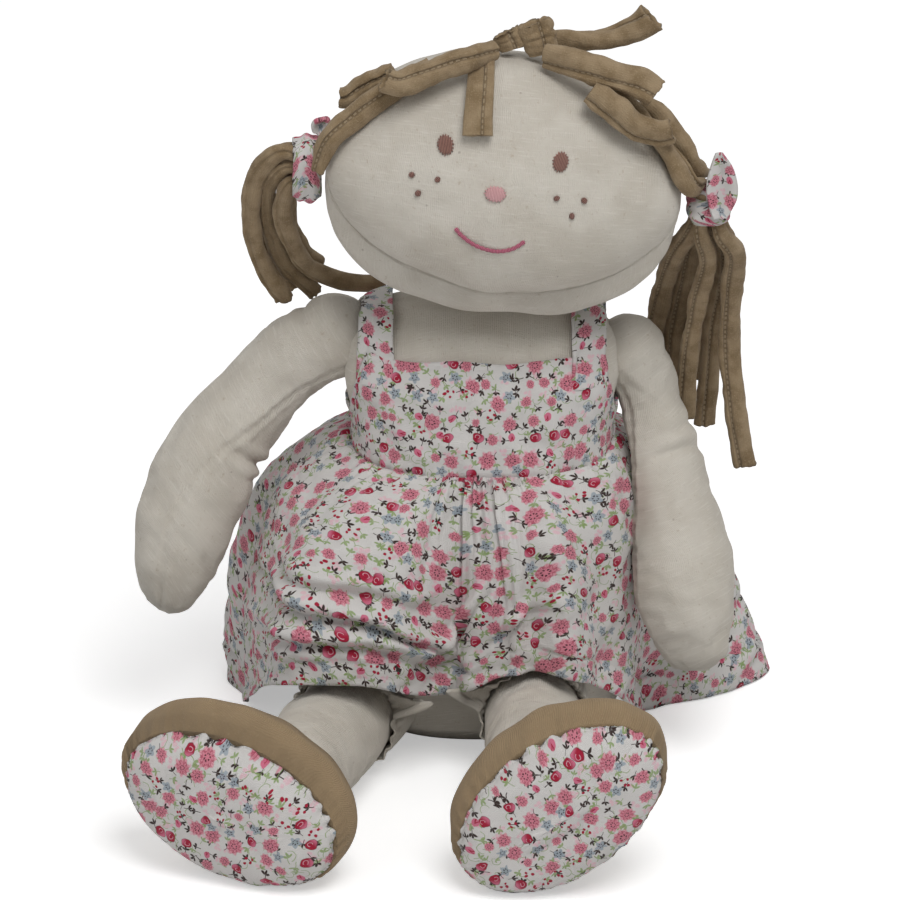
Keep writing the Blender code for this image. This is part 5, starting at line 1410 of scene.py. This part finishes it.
# Routes in millimetres, then width, thickness and turn of the flattened tube
hairSettingsByPiece = {
    "hair_lock_right_side": ([(-20.1, -28.8, 292.3), (-30.0, -31.3, 287.4), (-40.2, -33.7, 281.2), (-50.8, -35.4, 272.9), (-59.9, -36.6, 264.4), (-64.5, -36.3, 251.0)], 9.0, 6.0, 10, 0.85, 0.6),
    "hair_lock_right_behind": ([(-34.6, -20.6, 286.5), (-42.7, -20.5, 282.6), (-49.5, -20.9, 278.3), (-55.8, -20.5, 274.1)], 8.6, 6.6, 0, 0.85, 0.9),
    "hair_lock_left_side": ([(46.4, -29.5, 285.5), (56.1, -31.7, 277.7), (66.1, -34.1, 267.5), (74.7, -36.0, 256.1), (81.0, -35.8, 244.5), (85.5, -24.3, 240.4)], 9.0, 6.2, 160, 0.85, 0.6),
    "hair_lock_left_behind": ([(62.2, -20.9, 274.1), (70.3, -21.3, 266.7), (77.0, -22.5, 258.1), (82.6, -22.5, 247.5), (86.8, -11.6, 240.4)], 8.6, 6.4, 60, 0.85, 0.6),
    "hair_lock_right_short": ([(4.7, -27.3, 298.3), (-7.9, -36.3, 297.9), (-23.1, -40.2, 293.4), (-38.2, -42.1, 287.8)], 9.8, 6.4, 30, 0.85, 1.0),
    "hair_lock_left_short": ([(24.8, -27.2, 296.4), (38.0, -35.1, 295.4), (53.4, -38.7, 291.9), (67.1, -39.4, 287.7)], 11.2, 6.6, -30, 0.85, 1.0),
    "hair_lock_left_long": ([(41.7, -42.5, 287.4), (50.9, -44.8, 281.1), (59.9, -44.8, 273.3), (73.5, -43.6, 269.5)], 11.0, 6.6, 20, 0.85, 1.0),
    "hair_tuft_short": ([(11.6, -18.2, 294.9), (10.6, -17.0, 298.1), (8.8, -16.1, 301.5)], 10.8, 6.4, 0, 0.85, 1.0),
    "hair_tuft_wide": ([(23.5, -19.1, 293.8), (22.0, -18.0, 299.5), (19.9, -17.2, 306.3)], 12.4, 6.6, 10, 0.85, 1.0),
    "hair_tuft_twisted": ([(26.3, -6.9, 294.1), (37.0, -9.0, 294.9), (49.9, -10.8, 296.8), (66.1, -10.0, 303.0)], 10.2, 6.4, 150, 0.85, 1.15),
    "hair_strand_right_a": ([(-69.0, -19.5, 249.0), (-79.5, -20.0, 252.0), (-89.0, -14.0, 239.0), (-91.5, -4.0, 215.0), (-87.0, 5.0, 193.0), (-79.0, 12.0, 175.0)], 7.2, 5.6, 20, 0.6, 1.0),
    "hair_strand_right_b": ([(-69.0, -19.5, 244.0), (-78.0, -18.0, 244.5), (-84.5, -8.0, 231.0), (-84.0, 4.0, 209.0), (-78.0, 14.0, 189.0), (-67.0, 21.0, 174.0)], 6.8, 5.4, -15, 0.6, 1.0),
    "hair_strand_right_c": ([(-69.0, -19.5, 239.5), (-76.0, -19.5, 238.4), (-79.0, -10.0, 222.0), (-75.2, 1.5, 204.0), (-69.0, 14.0, 188.0), (-55.0, 22.0, 178.0), (-40.0, 26.0, 175.0)], 7.2, 5.4, 40, 0.6, 1.0),
    "hair_strand_right_d": ([(-69.0, -13.0, 248.5), (-78.0, -10.0, 248.5), (-85.5, 0.0, 234.0), (-87.5, 11.0, 212.0), (-83.0, 18.0, 192.0), (-76.0, 24.0, 175.0)], 7.0, 5.4, 0, 0.6, 1.0),
    "hair_strand_right_e": ([(-69.0, -13.5, 241.5), (-77.0, -9.5, 240.7), (-77.5, 2.0, 225.0), (-76.5, 13.5, 207.0), (-72.0, 23.0, 192.0), (-66.0, 29.5, 183.0)], 6.8, 5.4, 30, 0.6, 1.0),
    "hair_strand_left_a": ([(86.5, -21.0, 231.0), (82.8, -18.5, 219.0), (76.5, -2.0, 201.0), (73.0, 15.0, 181.0), (70.0, 24.0, 161.0), (67.0, 29.0, 142.0)], 7.8, 5.2, 25, 0.6, 1.0),
    "hair_strand_left_b": ([(85.5, -15.5, 231.0), (85.0, -11.0, 219.0), (83.5, 6.0, 201.0), (80.5, 20.0, 177.0), (77.0, 29.0, 153.0), (76.0, 33.0, 131.0)], 8.0, 5.2, -10, 0.6, 1.0),
    "hair_strand_left_c": ([(92.0, -15.5, 231.0), (93.0, -10.0, 219.0), (91.0, 8.0, 201.0), (89.0, 20.0, 177.0), (86.0, 28.0, 154.0), (85.0, 31.0, 132.0)], 7.8, 5.2, 15, 0.6, 1.0),
    "hair_strand_left_d": ([(85.5, -27.5, 231.0), (86.0, -26.0, 219.0), (89.0, -16.0, 204.0), (86.0, -4.0, 183.0), (83.5, 4.0, 161.0), (82.0, 10.0, 141.0), (82.0, 13.0, 123.0)], 7.2, 4.0, 20, 0.6, 1.0),
    "hair_strand_left_e": ([(92.0, -21.0, 231.0), (94.0, -19.0, 219.0), (96.5, -8.0, 206.0), (96.0, 6.0, 186.0), (92.5, 16.0, 161.0), (91.0, 20.0, 137.0), (89.5, 21.0, 116.0)], 8.0, 5.2, -20, 0.6, 1.0),
    "hair_strand_left_f": ([(91.2, -26.5, 231.0), (94.0, -27.0, 220.0), (99.5, -20.0, 209.0), (99.0, -7.0, 189.0), (98.5, 2.0, 161.0), (101.0, 4.0, 133.0), (105.5, 5.0, 105.0)], 8.4, 5.4, 10, 0.6, 1.0),
}


# how far the free end curls up, in metres
hairCurls = {
    "hair_lock_right_short": 0.0045,
    "hair_lock_left_short": -0.0020,
    "hair_lock_left_long": 0.0020,
    "hair_tuft_twisted": 0.0022,
    "hair_lock_right_behind": 0.0015,
}


def makeHairTube(name, settings):
    # A flattened tube of jersey: p = path + a cos^(2/n) side + b sin^(2/n) up, with a rolled edge and an open end.
    route, width, thickness, turn, pinch, flare = settings
    rows, columns = 96, 40
    path = evenSteps(curveThrough(np.array(route) * mm, 200), rows)
    t = np.linspace(0, 1, rows)
    path += (0, 0, 1) * (np.clip((t - 0.8) / 0.2, 0, 1) ** 2 * hairCurls.get(name, 0.0))[:, None]
    ahead, sides, ups = framesAlong(path, (0.0, 1.0, 0.12))
    twist = math.radians(turn) * t
    across = sides * np.cos(twist)[:, None] + ups * np.sin(twist)[:, None]
    upward = ups * np.cos(twist)[:, None] - sides * np.sin(twist)[:, None]
    random = np.random.default_rng(sum(map(ord, name)))
    wobble = curveThrough(random.uniform(-1, 1, 9), rows)[:, 0]
    size = 1 - (1 - pinch) * bell(t, 0.10) + (flare - 1) * np.clip(t * 4 - 3, 0, 1)
    halfWidth = width / 2 * mm * size * (1.08 + 0.08 * wobble)
    halfThick = thickness / 2 * mm * size * (1.18 - 0.14 * wobble)
    # the open end: the wall turns in and runs back a little way
    ends = np.array((0.90, 0.74, 0.70, 0.66))
    back = np.array((0.0, 0.0006, 0.0022, 0.0036))
    path = np.vstack([path, path[-1] - ahead[-1] * back[:, None]])
    across, upward = (np.vstack([way, np.repeat(way[-1:], 4, 0)]) for way in (across, upward))
    halfWidth = np.concatenate([halfWidth, halfWidth[-1] * ends])
    halfThick = np.concatenate([halfThick, halfThick[-1] * (ends - 0.12)])
    angles = ringAngles(columns)
    c, s = ovalRing(angles, 2.2)
    groove = 1 - 0.30 * bell(c - 0.36, 0.16) + 0.12 * bell(c - 0.75, 0.22)
    x = halfWidth[:, None] * c
    z = halfThick[:, None] * s * groove
    grid = path[:, None] + x[:, :, None] * across[:, None] + z[:, :, None] * upward[:, None]
    change = ripples(grid, 0.016, len(name)) * 0.0004 + ripples(grid, 0.006, len(name) + 1) * 0.00015
    change[rows - 1 :] *= 0.2
    grid = grid + surfaceNormals(grid) * change[:, :, None]
    raw = ripples(grid[rows - 2 : rows + 1], 0.003, 7) * 0.0005
    grid[rows - 2 : rows + 1] += ahead[-1] * raw[:, :, None]
    length = np.concatenate([np.linspace(0, 1, rows) * np.linalg.norm(np.diff(path[:rows], axis=0), axis=1).sum(), [0.0] * 4])
    # the right bunch is sewn with its seams turned to the back
    hidden = 0.01 if "strand_right" in name else 0.0
    places = np.stack(np.broadcast_arrays(x + hidden, length[:, None]), 2)
    places = np.concatenate([places, places[:, :1]], 1)
    tube = newPiece(name + "_tube", grid, hair, True, tuple(path[0]), tuple(path[-1] + ahead[-1] * 0.0001), places)
    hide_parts(name)
    if "strand" in name:
        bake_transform(tube)
    else:
        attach(tube, "head")
    return tube


fringeSettings = {
    "route": ((-14.0, 47.9), (-14.0, 40.9), (-14.0, 32.6), (-14.0, 24.2), (-13.6, 17.2)),
    "width": 0.0108,
    "thickness": 0.004,
}


def makeFringe():
    # A flattened tube over the face: it follows the face's own surface down from the seam.
    s = fringeSettings
    rows, columns = 80, 44
    line = curveThrough(np.array(s["route"]) * mm, rows)
    c, up = ovalRing(-ringAngles(columns), 3.2)
    taper = np.linspace(0.84, 1.08, rows)[:, None]
    x = line[:, :1] + c[None, :] * s["width"] / 2 * taper
    z = np.broadcast_to(line[:, 1:], x.shape)
    z = z + 0.0006 * c[None, :]
    groove = 1 - 0.25 * bell(c - 0.25, 0.12) * (up > 0)
    lift = s["thickness"] / 2 + 0.0014 + up[None, :] * groove[None, :] * s["thickness"] / 2 + 0.0 * x
    lift = lift + ripples(np.stack([x, z, z * 0], 2), 0.010, 91) * 0.0003
    grid = facePoints(x, np.minimum(z, 0.0455), lift)
    tail = facePoints(x[-1:] * 0.35 + line[-1, 0] * 0.65, z[-1:], lift[-1:] * 0.5 + (s["thickness"] / 2 + 0.0014) * 0.5)
    grid = np.concatenate([grid, tail])
    length = np.linspace(0, 0.034, rows + 1)
    across = np.concatenate([x - line[:, :1], (x - line[:, :1])[-1:]])
    places = np.stack(np.broadcast_arrays(across - 0.0002, length[:, None]), 2)
    places = np.concatenate([places, places[:, :1]], 1)
    strip = newPiece("fringe_strip", grid, hair, True, tuple(grid[0].mean(0)), tuple(tail[0].mean(0)), places)
    return settle(strip, "head", ["hair_fringe"])


tieSettings = {
    "right": {"centre": (-0.0690, -0.0165, 0.2440), "half": (0.0130, 0.0130), "axis": 0, "width": 0.0112},
    "left": {"centre": (0.0890, -0.0210, 0.2310), "half": (0.0090, 0.0130), "axis": 2, "width": 0.0112},
    "power": 2.5,
}


def makeTies():
    # A strip of print round each bunch: an oval sleeve r (1 - 0.6 q^2) with soft lengthwise creases.
    for sideName in ("right", "left"):
        s = tieSettings[sideName]
        q = np.linspace(-0.5, 0.5, 26)
        swell = 1 - 0.6 * q**2
        c, up = ovalRing(ringAngles(110), tieSettings["power"])
        a = s["half"][0] * swell[:, None] * c
        b = s["half"][1] * swell[:, None] * up
        w = np.broadcast_to((q * s["width"])[:, None], a.shape)
        grid = np.stack([w, a, b] if s["axis"] == 0 else [a, b, w], 2) + np.array(s["centre"])
        places = flatPlaces(grid, True)
        crease = np.sin(q[:, None] * 14 + 2.2 * np.sin(places[:, :-1, 0] / 0.009))
        change = crease * 0.0004 + ripples(grid, 0.012, 95) * 0.0003
        grid = grid + surfaceNormals(grid) * change[:, :, None]
        band = newPiece("tie_band_" + sideName, grid, floral, True, places=places)
        thicken(band, clothThickness)
        settle(band, "head", ["tie_%s_band" % sideName])
    tab = ((0.0, 0.0, 0.0), (0.15, 0.05, 0.28), (0.30, 0.10, 0.50), (0.40, 0.10, 0.66))
    loop = ((0.0, 0.0, 0.0), (0.08, 0.08, 0.9), (0.05, 0.08, 1.8), (-0.04, 0.0, 2.55))
    ribbons = (
        ("tie_tab", (-0.0653, -0.0165, 0.2582), tab, 0.55, (0.010, 0.010), "tie_right_tab"),
        ("tie_loop", (0.0927, -0.0373, 0.2310), loop, 0.95, (0.010, 0.028), "tie_left_loop"),
    )
    for name, base, route, widthShare, flat, node in ribbons:
        route = np.array(base) + 0.011 * np.array(route) * (1, -1, 1)
        path = evenSteps(curveThrough(route, 100), 40)
        ahead, sides, ups = framesAlong(path, (0.0, 1.0, 0.0))
        t = np.linspace(0, 1, 40)
        leaf = np.sin(math.pi * np.clip(t * 0.90 + 0.08, 0, 1))
        half = 0.011 * widthShare / 2 * (0.22 + 0.95 * leaf)
        q = np.linspace(-1, 1, 21)
        cup = -0.0030 * (1 - q**2) * np.exp(-((q / 0.8) ** 2))
        grid = path[:, None] + q[None, :, None] * sides[:, None] * half[:, None, None]
        grid = grid - cup[None, :, None] * ups[:, None] * leaf[:, None, None]
        grid = grid + (ripples(grid, 0.010, 97) * 0.0004)[:, :, None] * ups[:, None]
        ribbon = newPiece(name, grid, floral, False)
        thicken(ribbon, 0.0018, 0.0)
        settle(ribbon, "head", [node])


# ---- making

knickersCloth = creamJersey("knickersCloth", {**creamSettings, "wale": 0.0005})
makeHead()
makeEmbroidery()
print("head made")
makeBody()
makeNeck()
makeArm("right")
makeArm("left")
soleFrames = {sideName: makeLeg(sideName) for sideName in ("right", "left")}
print("body and limbs made")
makeKnickers(soleFrames)
makeBodice()
makeStraps()
makeSkirt()
print("clothes made")
for hairName, hairPiece in hairSettingsByPiece.items():
    makeHairTube(hairName, hairPiece)
makeFringe()
makeTies()
print("hair and ties made")
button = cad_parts["back_button"]
button.data.materials.clear()
button.data.materials.append(buttonPlastic())


# ---- stage, camera and light

stageSettings = {
    "aim": (-0.0128, 0.0, 0.1139),
    "elevation": 25.0,
    "distance": 4.0,
    "lens": 400.0,
    "floor": screen(240, 240, 240),
    "glow": 0.42,
    # place, size in metres and watts
    "lamps": (((0.45, -1.15, 2.3), 1.3, 34.0), ((-1.6, -1.2, 1.3), 1.8, 5.0), ((0.3, 1.4, 2.0), 1.6, 6.0)),
    "world": 0.31,
}


def makeStage():
    s = stageSettings
    mesh = bpy.data.meshes.new("floor")
    mesh.from_pydata([(-6, -6, 0), (6, -6, 0), (6, 6, 0), (-6, 6, 0)], [], [(0, 1, 2, 3)])
    floor = bpy.data.objects.new("floor", mesh)
    bpy.context.scene.collection.objects.link(floor)
    material, start, shader = newMaterial("floorPaper", 0.95)
    solid = start.node("ShaderNodeTexCoord", {}, {}, 3)
    colour = noise(start, solid, 3.0).mix(s["floor"], tuple(0.99 * c for c in s["floor"]))
    finishMaterial(start, shader, colour, noise(start, solid, 900.0), 0.00002)
    # the paper is a touch brighter to the camera alone
    seen = start.node("ShaderNodeLightPath").mix((0.0, 0.0, 0.0), (1.0, 1.0, 1.0))
    material.node_tree.links.new(seen.socket, shader.inputs["Emission Color"])
    shader.inputs["Emission Strength"].default_value = s["glow"]
    mesh.materials.append(material)
    camera = bpy.data.objects.new("camera", bpy.data.cameras.new("camera"))
    camera.data.lens = s["lens"]
    camera.data.sensor_width = 36.0
    rise = math.radians(s["elevation"])
    back = Vector((0, -math.cos(rise), math.sin(rise)))
    camera.location = Vector(s["aim"]) + back * s["distance"]
    camera.rotation_euler = (-back).to_track_quat("-Z", "Y").to_euler()
    camera.data.clip_end = 50
    bpy.context.scene.collection.objects.link(camera)
    bpy.context.scene.camera = camera
    for place, size, power in s["lamps"]:
        lamp = bpy.data.lights.new("lamp", "AREA")
        lamp.size, lamp.energy = size, power
        holder = bpy.data.objects.new("lamp", lamp)
        holder.location = place
        holder.rotation_euler = (Vector(s["aim"]) - Vector(place)).to_track_quat("-Z", "Y").to_euler()
        bpy.context.scene.collection.objects.link(holder)
    world = bpy.data.worlds.new("studio")
    bpy.context.scene.world = world
    world.use_nodes = True
    start = Wire(world.node_tree)
    path = start.node("ShaderNodeLightPath")
    seen = path.math("MAXIMUM", path.other("Is Glossy Ray")).math("MAXIMUM", path.other("Is Transmission Ray"))
    back = world.node_tree.nodes["Background"]
    back.inputs["Color"].default_value = (1, 1, 1, 1)
    world.node_tree.links.new((seen * (1 - s["world"]) + s["world"]).socket, back.inputs["Strength"])
    bpy.context.scene.view_settings.view_transform = "Standard"


makeStage()
print("stage made")
